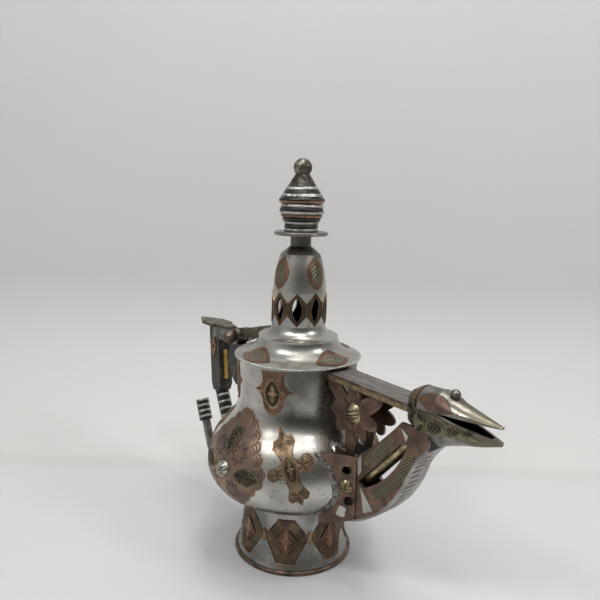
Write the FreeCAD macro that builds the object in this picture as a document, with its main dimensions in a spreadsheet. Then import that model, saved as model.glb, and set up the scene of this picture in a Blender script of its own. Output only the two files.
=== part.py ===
# Tinned pot with a bird-head spout, a hinged tower lid, a horn-ringed handle and copper and brass trim.
# Frame: origin at the centre of the foot's resting plane, +X towards the spout, +Z up, millimetres.
import FreeCAD, Part
import math
import os
import Sketcher

Vector = FreeCAD.Vector
doc = FreeCAD.newDocument("bird_spout_pot")
sheet = doc.addObject("Spreadsheet::Sheet", "Sizes")

# Driving dimensions: lengths in mm, angles in degrees, heights above the piece named first
SIZES = {
    # Foot and vessel
    "sheet_wall": 1.5, "foot_height": 44.5, "foot_top_radius": 37.5, "foot_base_radius": 41.0,
    "foot_flare_radius": 38.0, "foot_flare_height": 13.0, "rim_width": 2.0, "rim_height": 2.8,
    "body_base_radius": 38.5, "belly_radius": 63.3, "belly_rise": 21.5, "belly_low_radius": 53.3,
    "belly_low_rise": 5.7, "belly_high_radius": 59.7, "belly_high_rise": 17.8, "shoulder_radius": 49.5,
    "shoulder_rise": 32.9, "throat_radius": 43.95, "throat_rise": 8.1, "neck_radius": 42.0,
    "neck_rise": 17.8, "mouth_radius": 43.2, "mouth_rise": 27.3,
    # Trim soldered to the vessel
    "trim_thickness": 0.7, "stud_thickness": 1.3, "panel_count": 7, "panel_width": 31.4,
    "panel_bottom": 6.3, "panel_top": 36.7, "panel_flat": 12.4, "panel_tip_lift": 2.0,
    "diamond_width": 16.4, "diamond_height": 17.4, "link_width": 3.4, "link_height": 9.6,
    "pendant_width": 29.4, "pendant_height": 30.0, "pendant_drop": 1.7, "pendant_angle": 62.0,
    "pendant_lens_width": 12.0, "pendant_lens_height": 21.0, "medallion_width": 64.0, "medallion_top": 37.0,
    "medallion_bottom": 27.0, "medallion_centre": 30.5, "medallion_angle": 90.0, "medallion_scallop": 4.6, "lens_width": 10.0,
    "lens_height": 20.0, "lens_offset": 21.0, "lens_turn": 19.5, "boss_radius": 5.5, "cross_height": 49.0,
    "cross_width": 32.0, "cross_band": 9.5, "cross_lobe": 6.2, "cross_centre": 39.5,
    "cross_angle": 42.7, "cross_tilt": 21.0, "cross_lens_width": 8.0, "cross_lens_height": 18.0,
    # Lid
    "seat_gap": 0.3, "lid_radius": 45.0, "flange_edge": 1.9, "cove_foot_radius": 40.5, "cove_foot_rise": 3.3,
    "cove_radius": 32.4, "cove_rise": 6.9, "ledge_radius": 28.8, "ledge_rise": 14.2,
    "ledge_edge": 1.1, "sweep_radius": 22.2, "sweep_rise": 17.6, "tower_radius": 19.2,
    "tower_foot_rise": 23.7, "tower_top_rise": 47.7, "tower_bend_radius": 17.4,
    "tower_bend_rise": 62.0, "cap_radius": 14.2, "cap_rise": 74.0, "stem_radius": 7.5,
    "stem_rise": 79.7, "stem_length": 7.5, "collar_radius": 40.6, "collar_depth": 5.0,
    "edge_wire": 0.9, "window_count": 9, "window_width": 6.8, "window_height": 17.6,
    "window_rise": 36.0, "window_frame": 3.1, "lid_lens_length": 30.0, "lid_lens_width": 13.6,
    "lid_lens_radius": 37.2, "tower_lens_width": 14.5, "tower_lens_height": 22.5, "tower_lens_rise": 61.0,
    # Finial
    "rod_radius": 2.6, "rod_gap": 0.05, "disc_radius": 19.4, "disc_thickness": 2.7,
    "waist_radius": 11.8, "bulge_radius": 15.8, "groove_radius": 14.3, "brim_radius": 16.6,
    "hat_radius": 10.4, "hat_top_radius": 5.2, "layer_height": 2.45, "hat_cap_height": 8.7,
    "ball_radius": 6.6, "ring_proud": 0.35, "rivet_radius": 4.5, "rivet_height": 1.3,
    # Hinge and strap
    "hinge_reach": 73.0, "hinge_rise": 0.3, "knuckle_radius": 5.5, "pin_radius": 2.0, "pin_gap": 0.05,
    "strap_width": 6.0, "slot_gap": 0.4, "ear_width": 3.6, "knob_radius": 5.2, "strap_rise": 19.5,
    "strap_end": 19.0, "strap_depth": 6.0, "knuckle_room": 3.5, "ear_margin": 0.8,
    # Handle
    "bar_top_reach": 98.5, "bar_low_reach": 93.5, "bar_depth": 13.5, "bar_width": 12.0,
    "bar_top_rise": 3.5, "bar_low_drop": 46.0, "bar_tip_drop": 52.0, "bar_tip_inset": 2.4,
    "inlay_width": 3.4, "inlay_length": 25.0, "inlay_drop": 20.0, "plaque_width": 7.0,
    "plaque_length": 18.0, "plaque_drop": 9.0, "plaque_hole": 1.6, "leaf_tip_reach": 136.0,
    "leaf_end_reach": 85.0, "leaf_wide_reach": 117.0, "leaf_half_width": 10.0, "leaf_notch_reach": 101.0,
    "leaf_notch_half": 6.5, "leaf_end_half": 3.6, "leaf_thickness": 2.0, "grip_radius": 5.6,
    "grip_angle": 25.0, "grip_length": 46.0, "grip_rod_radius": 2.6, "grip_ring_count": 8,
    "grip_ring_width": 1.9, "root_low": 9.0, "root_high": 27.5, "root_width": 9.0, "root_reach": 88.0,
    "bracket_width": 9.0, "bracket_reach": 80.0, "bracket_drop": 34.0, "bracket_depth": 11.0,
    "bracket_bow": 3.5, "bracket_curl": 8.5, "tail_radius": 3.6, "tail_start_reach": 84.0,
    "tail_start_rise": 10.0, "tail_low_reach": 101.0, "tail_low_rise": -2.0, "tail_bend_reach": 117.5,
    "tail_bend_rise": 9.0, "tail_length": 20.0, "tail_tip_radius": 5.6, "tail_tip_length": 19.0,
    "tail_ring_count": 4,
    # Spout plates, heights above the root line
    "root_drop": 15.0,
    "spout_width": 18.0, "plate_thickness": 1.6, "root_start_x": 42.0, "sole_start_rise": 15.5,
    "sole_mid_x": 90.5, "sole_mid_rise": 35.2, "sole_end_x": 114.5, "sole_end_rise": 71.5,
    "chin_mid_x": 119.5, "chin_mid_rise": 80.0, "chin_x": 128.0, "chin_rise": 89.0,
    "arm_head_x": 108.0, "arm_head_rise": 99.0, "arm_mid_x": 93.0, "arm_mid_rise": 83.2,
    "arm_root_x": 72.0, "arm_root_rise": 65.5, "window_low_x": 75.0, "window_low_rise": 50.0,
    "window_top_x": 107.5, "window_top_rise": 85.2, "window_tip_x": 113.5, "window_tip_rise": 86.8,
    "window_bow_x": 103.2, "window_bow_rise": 67.5, "window_heel_x": 79.5, "window_heel_rise": 47.2,
    "eyelet_high_x": 67.5, "eyelet_high_rise": 55.6, "eyelet_high_radius": 2.7, "eyelet_low_x": 69.3,
    "eyelet_low_rise": 35.3, "eyelet_low_radius": 3.0, "strip_thickness": 1.4, "strip_overhang": 0.6,
    "flower_x": 67.2, "flower_rise": 92.3, "flower_disc": 9.0, "petal_width": 10.5, "petal_long": 31.5,
    "petal_top": 21.5, "petal_upper": 27.5, "petal_lower": 21.2, "petal_small": 18.6, "petal_stem": 29.0,
    "lobe_length": 20.0, "flower_boss": 7.2, "flower_boss_height": 3.6, "pillar_boss": 4.6,
    "pillar_boss_height": 2.6, "pillar_fold_x": 73.0, "pillar_end_x": 52.0,
    "pillar_spread": 22.0, "fold_gap": 0.05, "pillar_boss_x": 67.5, "pillar_boss_rise": 44.7,
    "overlay_thickness": 0.6,
    "bridge_drop": 0.7, "bridge_fall": 2.6, "bridge_end_x": 112.0, "bridge_thickness": 1.6,
    "bridge_overhang": 0.8, "edge_strip_height": 3.0, "tube_radius": 4.6, "tube_wall": 1.2,
    "tube_start_x": 57.0, "tube_start_rise": 31.0, "tube_angle": 47.0, "tube_length": 84.0,
    # Bird head, heights above the root line
    "head_wall": 1.4, "head_back_x": 110.0, "head_cheek_x": 119.0, "head_throat_x": 131.0,
    "beak_mid_x": 146.0, "beak_front_x": 158.0, "beak_tip_x": 168.5, "back_half": 6.5,
    "cheek_half": 9.9, "throat_half": 9.7, "beak_mid_half": 7.2, "beak_front_half": 4.6,
    "beak_tip_half": 1.3, "seam_rise": 111.7, "back_low": 97.0, "cheek_low": 92.0, "throat_low": 90.2,
    "beak_mid_low": 95.4, "beak_front_low": 98.6, "beak_tip_low": 102.2, "mouth_mid_drop": 3.4,
    "mouth_front_drop": 5.6, "mouth_tip_drop": 7.4, "back_crown": 6.8, "cheek_crown": 10.8,
    "throat_crown": 11.2, "beak_mid_crown": 6.6, "beak_front_crown": 3.6, "beak_tip_crown": 1.2,
    "cheek_panel_height": 12.5, "cheek_panel_drop": 1.5, "cheek_panel_end_x": 159.0,
    "inlay_start_x": 119.0, "inlay_end_x": 142.0, "inlay_height": 9.0, "collar_length": 4.0,
    "bead_x": 138.0, "bead_radius": 3.0,
}
for row, (alias, number) in enumerate(SIZES.items(), start=1):
    sheet.set(f"A{row}", alias)
    sheet.set(f"B{row}", str(number))
    sheet.setAlias(f"B{row}", alias)
doc.recompute()


class Size:
    """A dimension: its value now, and the expression that binds it to the sheet."""

    def __init__(self, value, text):
        self.value = value
        self.text = text

    @staticmethod
    def of(number):
        return number if isinstance(number, Size) else Size(float(number), repr(float(number)))

    def combine(self, sign, other, value):
        return Size(value, f"({self.text} {sign} {Size.of(other).text})")

    def __add__(self, other):
        return self.combine("+", other, self.value + Size.of(other).value)

    def __sub__(self, other):
        return self.combine("-", other, self.value - Size.of(other).value)

    def __mul__(self, other):
        return self.combine("*", other, self.value * Size.of(other).value)

    def __neg__(self):
        return self * -1


def size(alias):
    return Size(float(sheet.get(alias)), f"Sizes.{alias}")


def mm(alias):
    return float(sheet.get(alias))


ZERO = Size.of(0)
nodes = {}


# Sketched bodies: each corner is (x, y), or (x, y, via_x, via_y) where an arc through via arrives at it
def draw_loop(sketch, corners):
    corners = [tuple(Size.of(part) for part in corner) for corner in corners]
    rules = []
    bound = []
    ends = []
    for index, corner in enumerate(corners):
        target = corners[(index + 1) % len(corners)]
        start = Vector(corner[0].value, corner[1].value, 0)
        stop = Vector(target[0].value, target[1].value, 0)
        if len(target) == 2:
            edge = sketch.addGeometry(Part.LineSegment(start, stop), False)
        else:
            via = Vector(target[2].value, target[3].value, 0)
            edge = sketch.addGeometry(Part.Arc(start, via, stop), False)
            pin = sketch.addGeometry(Part.Point(via), True)
            bound.append((pin, 1, target[2], target[3]))
            rules.append(Sketcher.Constraint("PointOnObject", pin, 1, edge))
        first = 1 if sketch.getPoint(edge, 1).distanceToPoint(start) < 1e-6 else 2
        ends.append((edge, first, 3 - first))
        bound.append((edge, first, corner[0], corner[1]))
    for index, (edge, first, last) in enumerate(ends):
        following = ends[(index + 1) % len(ends)]
        rules.append(Sketcher.Constraint("Coincident", edge, last, following[0], following[1]))
    sketch.addConstraint(rules)
    for geometry, point, across, up in bound:
        for axis, measure in (("DistanceX", across), ("DistanceY", up)):
            number = sketch.addConstraint(Sketcher.Constraint(axis, geometry, point, measure.value))
            sketch.setExpression(f"Constraints[{number}]", measure.text)


def draw_circle(sketch, x, y, radius):
    x, y, radius = Size.of(x), Size.of(y), Size.of(radius)
    edge = sketch.addGeometry(Part.Circle(Vector(x.value, y.value, 0), Vector(0, 0, 1), radius.value), False)
    for axis, measure in (("DistanceX", x), ("DistanceY", y)):
        number = sketch.addConstraint(Sketcher.Constraint(axis, edge, 3, measure.value))
        sketch.setExpression(f"Constraints[{number}]", measure.text)
    number = sketch.addConstraint(Sketcher.Constraint("Radius", edge, radius.value))
    sketch.setExpression(f"Constraints[{number}]", radius.text)


def new_sketch(body, plane):
    sketch = body.newObject("Sketcher::SketchObject", body.Name + "_sketch")
    support = next(item for item in body.Origin.OriginFeatures if item.Role == plane)
    sketch.AttachmentSupport = [(support, "")]
    sketch.MapMode = "FlatFace"
    return sketch


def revolved(name, corners):
    body = doc.addObject("PartDesign::Body", name)
    sketch = new_sketch(body, "XZ_Plane")
    draw_loop(sketch, corners)
    turn = body.newObject("PartDesign::Revolution", name + "_turn")
    turn.Profile = sketch
    turn.ReferenceAxis = (sketch, ["V_Axis"])
    turn.Angle = 360
    return body


def padded(name, loops, depth, plane="XZ_Plane", circles=()):
    body = doc.addObject("PartDesign::Body", name)
    sketch = new_sketch(body, plane)
    for corners in loops:
        draw_loop(sketch, corners)
    for circle in circles:
        draw_circle(sketch, *circle)
    pad = body.newObject("PartDesign::Pad", name + "_pad")
    pad.Profile = sketch
    pad.SideType = "Symmetric"
    pad.Length = Size.of(depth).value
    pad.setExpression("Length", Size.of(depth).text)
    return body


def moved(item, x=ZERO, y=ZERO, z=ZERO):
    for axis, measure in zip("xyz", (x, y, z)):
        item.setExpression(f".Placement.Base.{axis}", Size.of(measure).text)
    return item


def cylinder(name, radius, length):
    item = doc.addObject("Part::Cylinder", name)
    item.setExpression("Radius", Size.of(radius).text)
    item.setExpression("Height", Size.of(length).text)
    return item


def cut(name, base, *tools):
    for number, tool in enumerate(tools, start=1):
        result = doc.addObject("Part::Cut", name if number == len(tools) else f"{name}_cut{number}")
        result.Base = base
        result.Tool = tool
        base = result
    return base


def formed(name, shape):
    item = doc.addObject("Part::Feature", name)
    item.Shape = Part.makeCompound(shape.Solids)
    item.Placement = FreeCAD.Placement()
    return item


def node(name, item):
    item.Label = name
    nodes[name] = item
    return item


# Heights of the vessel
base_z = size("foot_height")
root_z = base_z - size("root_drop")
belly_z = base_z + size("belly_rise")
shoulder_z = belly_z + size("shoulder_rise")
neck_z = shoulder_z + size("neck_rise")
mouth_z = neck_z + size("mouth_rise")
wall = size("sheet_wall")


def side(x, rise):
    """A point of the spout's side view: x from the axis, height above the root line."""
    return size(x), root_z + size(rise)


def vessel_line(grow):
    """The vessel's outline from base to mouth, moved out by grow."""
    return [
        (size("body_base_radius") + grow, base_z),
        (size("belly_radius") + grow, belly_z,
         size("belly_low_radius") + grow, base_z + size("belly_low_rise")),
        (size("shoulder_radius") + grow, shoulder_z,
         size("belly_high_radius") + grow, belly_z + size("belly_high_rise")),
        (size("neck_radius") + grow, neck_z,
         size("throat_radius") + grow, shoulder_z + size("throat_rise")),
        (size("mouth_radius") + grow, mouth_z),
    ]


def reversed_line(corners):
    """The same outline walked the other way, with each arc kept between its two ends."""
    turned = [corners[-1][:2]]
    for index in range(len(corners) - 1, 0, -1):
        turned.append(corners[index - 1][:2] + tuple(corners[index][2:]))
    return turned


# Foot: a flared hollow ring with a rolled rim
def foot_line(grow):
    return [
        (size("foot_top_radius") + grow, base_z),
        (size("foot_base_radius") + grow, size("rim_height"),
         size("foot_flare_radius") + grow, size("foot_flare_height")),
        (size("foot_base_radius") + grow, ZERO),
    ]


node("foot_ring", revolved("foot_ring_body", foot_line(ZERO) + reversed_line(foot_line(-wall))))
rim_in = size("foot_base_radius")
rim_out = rim_in + size("rim_width")
node("foot_rim", revolved("foot_rim_body", [
    (rim_in, ZERO), (rim_out - size("rim_width") * 0.3, ZERO),
    (rim_out - size("rim_width") * 0.4, size("rim_height"), rim_out, size("rim_height") * 0.5),
    (rim_in, size("rim_height"))]))

# Vessel: one raised shell with a hole for the spout's tube
vessel = revolved("vessel_body", [(ZERO, base_z)] + vessel_line(ZERO) + reversed_line(
    [(size("body_base_radius") - wall, base_z + wall)] + vessel_line(-wall)[1:]) + [(ZERO, base_z + wall)])
vessel_form = revolved("vessel_form", [(ZERO, base_z)] + vessel_line(ZERO) + [(ZERO, mouth_z)])


def along_tube(name, radius, length):
    item = cylinder(name, radius, length)
    item.setExpression(".Placement.Base.x", size("tube_start_x").text)
    item.setExpression(".Placement.Base.z", (root_z + size("tube_start_rise")).text)
    item.Placement.Rotation = FreeCAD.Rotation(Vector(0, 1, 0), 90 - mm("tube_angle"))
    return item


tube_outer = along_tube("tube_outer", size("tube_radius"), size("tube_length"))
tube_bore = along_tube("tube_bore", size("tube_radius") - size("tube_wall"), size("tube_length"))
node("spout_tube", cut("tube_cut", tube_outer, tube_bore))
node("body_shell", cut("vessel_cut", vessel, tube_outer))
doc.recompute()


# Trim that follows the vessel: an outline pushed inwards through a thin skin of the wall
def solid_of_turn(corners):
    points = [tuple(Size.of(part).value for part in corner) for corner in corners]
    edges = []
    for index, corner in enumerate(points):
        target = points[(index + 1) % len(points)]
        start = Vector(corner[0], 0, corner[1])
        stop = Vector(target[0], 0, target[1])
        if len(target) == 2:
            edges.append(Part.makeLine(start, stop))
        else:
            edges.append(Part.Arc(start, Vector(target[2], 0, target[3]), stop).toShape())
    return Part.Face(Part.Wire(edges)).revolve(Vector(0, 0, 0), Vector(0, 0, 1), 360)


def vessel_skin(thickness):
    outer = solid_of_turn([(ZERO, base_z)] + vessel_line(Size.of(thickness)) + [(ZERO, mouth_z)])
    return outer.cut(vessel_form.Shape)


def loop_face(points):
    """A flat face in the YZ plane; a point with four numbers is reached by an arc through its last two."""
    edges = []
    for index, corner in enumerate(points):
        target = points[(index + 1) % len(points)]
        start = Vector(0, corner[0], corner[1])
        stop = Vector(0, target[0], target[1])
        if len(target) == 2:
            edges.append(Part.makeLine(start, stop))
        else:
            edges.append(Part.Arc(start, Vector(0, target[2], target[3]), stop).toShape())
    return Part.Face(Part.Wire(edges))


def lens_points(width, height):
    half_w, half_h = width / 2, height / 2
    return [(0, -half_h, -half_w, 0), (0, half_h, half_w, 0)]


def stamp(points, reach, height, angle, tilt=0.0, start=2.0):
    """A prism of an outline, pointing outwards at one height and one angle round the axis."""
    prism = loop_face(points).extrude(Vector(reach, 0, 0))
    prism.rotate(Vector(0, 0, 0), Vector(1, 0, 0), tilt)
    prism.translate(Vector(start, 0, height))
    prism.rotate(Vector(0, 0, 0), Vector(0, 0, 1), angle)
    return prism


def spread(skin, points, height, angles, reach, tilts=None):
    pieces = []
    for number, angle in enumerate(angles):
        tilt = tilts[number] if tilts else 0.0
        pieces.append(skin.common(stamp(points, reach, height, angle, tilt)))
    return Part.makeCompound([solid for piece in pieces for solid in piece.Solids])


# Foot band: hexagon panels with a copper diamond on each, and a small lens between neighbours
foot_solid = solid_of_turn([(ZERO, base_z)] + foot_line(ZERO) + [(ZERO, ZERO)])
foot_skin = solid_of_turn([(ZERO, base_z)] + foot_line(size("trim_thickness")) + [(ZERO, ZERO)])
foot_skin = foot_skin.cut(foot_solid)
foot_stud = solid_of_turn([(ZERO, base_z)] + foot_line(size("stud_thickness")) + [(ZERO, ZERO)])
foot_stud = foot_stud.cut(foot_solid).cut(foot_skin)
panel_step = 360 / mm("panel_count")
panel_angles = [-47 + panel_step * number for number in range(int(mm("panel_count")))]
panel_mid = (mm("panel_bottom") + mm("panel_top")) / 2
half_w = mm("panel_width") / 2
half_h = (mm("panel_top") - mm("panel_bottom")) / 2
half_flat = mm("panel_flat") / 2
tip = mm("panel_tip_lift")
hexagon = [(-half_flat, -half_h), (half_flat, -half_h), (half_w, tip), (half_flat, half_h),
           (-half_flat, half_h), (-half_w, tip)]
diamond = [(0, -mm("diamond_height") / 2), (mm("diamond_width") / 2, 0), (0, mm("diamond_height") / 2),
           (-mm("diamond_width") / 2, 0)]
foot_reach = 2 * mm("foot_base_radius")
node("foot_panels", formed("foot_panels", spread(
    foot_skin, hexagon, panel_mid, panel_angles, foot_reach)))
node("foot_diamonds", formed("foot_diamonds", spread(
    foot_stud, diamond, panel_mid, panel_angles, foot_reach)))
link_angles = [angle + panel_step / 2 for angle in panel_angles]
link_points = lens_points(mm("link_width"), mm("link_height"))
foot_links = spread(foot_skin, link_points, panel_mid + tip, link_angles, foot_reach)
node("foot_links", formed("foot_links", foot_links.cut(nodes["foot_panels"].Shape)))

# Vessel trim: neck pendants, side medallions and crosses, with brass lenses and a domed boss
copper_skin = vessel_skin(mm("trim_thickness"))
brass_skin = vessel_skin(mm("stud_thickness")).cut(copper_skin)
body_reach = 2 * mm("belly_radius")
pendant_w = mm("pendant_width") / 2
pendant_h = mm("pendant_height") / 2
pendant = [(-pendant_w * 0.62, pendant_h), (-pendant_w, pendant_h * 0.1, -pendant_w * 0.55, pendant_h * 0.5),
           (-pendant_w * 0.5, -pendant_h * 0.4, -pendant_w * 0.62, -pendant_h * 0.1),
           (0, -pendant_h, -pendant_w * 0.36, -pendant_h * 0.78),
           (pendant_w * 0.5, -pendant_h * 0.4, pendant_w * 0.36, -pendant_h * 0.78),
           (pendant_w, pendant_h * 0.1, pendant_w * 0.62, -pendant_h * 0.1),
           (pendant_w * 0.62, pendant_h, pendant_w * 0.55, pendant_h * 0.5)]
pendant_z = mouth_z.value - mm("pendant_drop") - pendant_h
pendant_angles = [mm("pendant_angle") * step for step in (-2, -1, 1, 2)]
node("neck_pendants", formed("neck_pendants", spread(
    copper_skin, pendant, pendant_z, pendant_angles, body_reach)))
pendant_lens = lens_points(mm("pendant_lens_width"), mm("pendant_lens_height"))
node("pendant_lenses", formed("pendant_lenses", spread(
    brass_skin, pendant_lens, pendant_z, pendant_angles, body_reach)))


def scalloped(width, top, bottom, lobe):
    """A lozenge with bowed sides, whose edge is a row of small round lobes."""
    count = 24
    bow = 1.3
    ring = []
    for number in range(count):
        turn = 2 * math.pi * number / count
        reach = (abs(math.sin(turn)) ** bow + abs(math.cos(turn)) ** bow) ** (-1 / bow)
        tall = top if math.cos(turn) > 0 else bottom
        ring.append((width / 2 * reach * math.sin(turn), tall * reach * math.cos(turn)))
    points = []
    for number in range(count):
        before = ring[number - 1]
        here = ring[number]
        mid = ((before[0] + here[0]) / 2, (before[1] + here[1]) / 2)
        out = 1 + lobe / 2 / math.hypot(*mid)
        points.append((here[0], here[1], mid[0] * out, mid[1] * out))
    return points


medallion_z = base_z.value + mm("medallion_centre")
medallion_angles = [-mm("medallion_angle"), mm("medallion_angle")]
medallion = scalloped(mm("medallion_width"), mm("medallion_top"), mm("medallion_bottom"),
                      mm("medallion_scallop"))
node("medallions", formed("medallions", spread(
    copper_skin, medallion, medallion_z, medallion_angles, body_reach)))
lens = lens_points(mm("lens_width"), mm("lens_height"))
lens_shapes = []
bosses = []
for angle in medallion_angles:
    lens_shapes += spread(brass_skin, lens, medallion_z + mm("lens_offset"), [angle], body_reach).Solids
    for turn in (-mm("lens_turn"), mm("lens_turn")):
        lens_shapes += spread(brass_skin, lens, medallion_z, [angle + turn], body_reach, [90]).Solids
    ball = Part.makeSphere(mm("boss_radius"), Vector(mm("belly_radius"), 0, medallion_z))
    ball.rotate(Vector(0, 0, 0), Vector(0, 0, 1), angle)
    bosses.append(ball.cut(vessel_form.Shape).cut(copper_skin))
node("medallion_lenses", formed("medallion_lenses", Part.makeCompound(lens_shapes)))
node("medallion_bosses", formed("medallion_bosses", Part.makeCompound(bosses)))

band = mm("cross_band") / 2
lobe = mm("cross_lobe")
high = mm("cross_height") / 2
wide = mm("cross_width") / 2
cross = [(-band, band), (-wide + lobe, band * 0.6), (-wide + lobe, -band * 0.6, -wide, 0), (-band, -band),
         (-band * 0.8, -high + 2 * lobe), (-lobe, -high + lobe), (0, -high), (lobe, -high + lobe),
         (band * 0.8, -high + 2 * lobe), (band, -band), (wide - lobe, -band * 0.6),
         (wide - lobe, band * 0.6, wide, 0), (band, band), (band * 0.8, high - 2 * lobe),
         (lobe, high - lobe), (0, high), (-lobe, high - lobe), (-band * 0.8, high - 2 * lobe)]
cross_z = base_z.value + mm("cross_centre")
cross_angles = [-180 + mm("cross_angle"), -mm("cross_angle"), mm("cross_angle"), 180 - mm("cross_angle")]
cross_tilts = [-mm("cross_tilt"), mm("cross_tilt"), -mm("cross_tilt"), mm("cross_tilt")]
node("cross_plaques", formed("cross_plaques", spread(
    copper_skin, cross, cross_z, cross_angles, body_reach, cross_tilts)))
cross_lens = lens_points(mm("cross_lens_width"), mm("cross_lens_height"))
node("cross_lenses", formed("cross_lenses", spread(
    brass_skin, cross_lens, cross_z, cross_angles, body_reach, cross_tilts)))

# Lid: one raised shell, flange to stem, pierced by a ring of pointed windows
lid_z = mouth_z + size("seat_gap")


def lid_line(grow):
    return [
        (size("cove_foot_radius"), lid_z + size("cove_foot_rise") + grow),
        (size("ledge_radius") + grow, lid_z + size("ledge_rise"),
         size("cove_radius") + grow * 0.7, lid_z + size("cove_rise") + grow * 0.7),
        (size("ledge_radius") + grow, lid_z + size("ledge_rise") + size("ledge_edge")),
        (size("tower_radius") + grow, lid_z + size("tower_foot_rise"),
         size("sweep_radius") + grow, lid_z + size("sweep_rise")),
        (size("tower_radius") + grow, lid_z + size("tower_top_rise")),
        (size("cap_radius") + grow, lid_z + size("cap_rise"),
         size("tower_bend_radius") + grow, lid_z + size("tower_bend_rise")),
    ]


stem_z = lid_z + size("stem_rise")
disc_z = stem_z + size("stem_length")
flange_z = lid_z + size("flange_edge")
collar_in = size("collar_radius") - wall
rod_hole = size("rod_radius") + size("rod_gap")
lid_outer = [(size("lid_radius"), lid_z), (size("lid_radius"), flange_z)] + lid_line(ZERO)
lid_outer = lid_outer + [(size("stem_radius"), stem_z), (size("stem_radius"), disc_z)]
lid_inner = reversed_line(lid_line(-wall)) + [(size("collar_radius"), lid_z)]
lid_body = revolved("lid_body", lid_outer + [(rod_hole, disc_z), (rod_hole, stem_z - wall)] + lid_inner)
lid_form = revolved("lid_form", [(ZERO, lid_z)] + lid_outer + [(ZERO, disc_z)])
doc.recompute()
window_z = lid_z.value + mm("window_rise")
window_step = 360 / mm("window_count")
window_angles = [-44 + window_step * number for number in range(int(mm("window_count")))]
window_points = lens_points(mm("window_width"), mm("window_height"))
tower_reach = 2 * mm("tower_radius")
piercing = [stamp(window_points, tower_reach, window_z, angle) for angle in window_angles]
windows = formed("tower_windows", Part.makeCompound(piercing))
node("lid_shell", cut("lid_cut", lid_body, windows))


def lid_skin(thickness):
    lid_solid = solid_of_turn([(ZERO, lid_z)] + lid_outer + [(ZERO, disc_z)])
    grown = [(size("lid_radius"), lid_z), (size("lid_radius"), flange_z + thickness)]
    line = lid_line(Size.of(thickness))
    return solid_of_turn([(ZERO, lid_z)] + grown + line + [(ZERO, line[-1][1])]).cut(lid_solid)


lid_copper = lid_skin(mm("trim_thickness"))
frame_w = mm("window_width") + 2 * mm("window_frame")
frame_h = mm("window_height") + 2 * mm("window_frame")
frame_hexagon = [(0, -frame_h / 2), (frame_w / 2, -frame_h / 5), (frame_w / 2, frame_h / 5), (0, frame_h / 2),
                 (-frame_w / 2, frame_h / 5), (-frame_w / 2, -frame_h / 5)]
frames = spread(lid_copper, frame_hexagon, window_z, window_angles, tower_reach).cut(windows.Shape)
node("window_frames", formed("window_frames", frames))
tower_lens = lens_points(mm("tower_lens_width"), mm("tower_lens_height"))
quarter = [-90, 0, 90, 180]
node("tower_lenses", formed("tower_lenses", spread(
    lid_copper, tower_lens, lid_z.value + mm("tower_lens_rise"), quarter, tower_reach)))
lens_solids = []
for angle in (-90, 0, 90):
    half_l = mm("lid_lens_length") / 2
    half_b = mm("lid_lens_width") / 2
    centre = mm("lid_lens_radius")
    low = Vector(centre, -half_l, lid_z.value)
    top = Vector(centre, half_l, lid_z.value)
    arcs = [Part.Arc(low, Vector(centre + half_b, 0, lid_z.value), top).toShape(),
            Part.Arc(top, Vector(centre - half_b, 0, lid_z.value), low).toShape()]
    prism = Part.Face(Part.Wire(arcs)).extrude(Vector(0, 0, mm("ledge_rise")))
    prism.rotate(Vector(0, 0, 0), Vector(0, 0, 1), angle)
    lens_solids += lid_copper.common(prism).Solids
node("lid_lenses", formed("lid_lenses", Part.makeCompound(lens_solids)))
edge_r = size("lid_radius")
edge_w = size("edge_wire")
node("lid_edge", revolved("lid_edge_body", [
    (edge_r, lid_z), (edge_r + edge_w * 0.5, lid_z),
    (edge_r + edge_w * 0.5, flange_z, edge_r + edge_w, lid_z + size("flange_edge") * 0.5),
    (edge_r, flange_z)]))
collar_low = lid_z - size("collar_depth")
node("lid_collar", revolved("lid_collar_body", [
    (collar_in, collar_low), (size("collar_radius"), collar_low), (size("collar_radius"), lid_z),
    (collar_in, lid_z)]))

# Finial: horn, white-metal and copper rings threaded on a rod over a wide disc, closed by a ball
finial_z = disc_z + size("disc_thickness")
layer = mm("layer_height")
finial_kinds = ["metal", "horn", "metal", "horn", "copper", "metal", "horn", "metal", "copper", "horn",
                "metal", "horn", "metal"]
finial_radii = [(0, "waist_radius"), (2, "waist_radius"), (6, "bulge_radius"), (8, "groove_radius"),
                (9, "brim_radius"), (13, "hat_radius")]


def finial_radius(step):
    for (low, low_name), (top, top_name) in zip(finial_radii, finial_radii[1:]):
        if step <= top:
            share = (step - low) / (top - low)
            return mm(low_name) * (1 - share) + mm(top_name) * share
    return mm(finial_radii[-1][1])


def bead_ring(radius_low, radius_top, bore, height, proud):
    """A turned ring: a cone-shaped bead whose edge bulges by proud."""
    edge = (radius_low + radius_top) / 2 + proud
    return solid_of_turn([(bore, 0), (radius_low, 0), (radius_top, height, edge, height / 2), (bore, height)])


finial = {"metal": [], "horn": [], "copper": []}
for step, kind in enumerate(finial_kinds):
    proud = mm("ring_proud") if kind != "horn" else mm("ring_proud") / 2
    ring = bead_ring(finial_radius(step), finial_radius(step + 1), rod_hole.value, layer, proud)
    ring.translate(Vector(0, 0, finial_z.value + layer * step))
    finial[kind].append(ring)
node("finial_disc", revolved("finial_disc_body", [
    (rod_hole, disc_z), (size("disc_radius") - size("disc_thickness") * 0.3, disc_z),
    (size("disc_radius") - size("disc_thickness") * 0.3, finial_z,
     size("disc_radius"), disc_z + size("disc_thickness") * 0.5), (rod_hole, finial_z)]))
node("finial_rings", formed("finial_rings", Part.makeCompound(finial["metal"])))
node("finial_horn", formed("finial_horn", Part.makeCompound(finial["horn"])))
node("finial_copper", formed("finial_copper", Part.makeCompound(finial["copper"])))
cap_z = finial_z + size("layer_height") * len(finial_kinds)
tip_z = cap_z + size("hat_cap_height")
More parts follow.
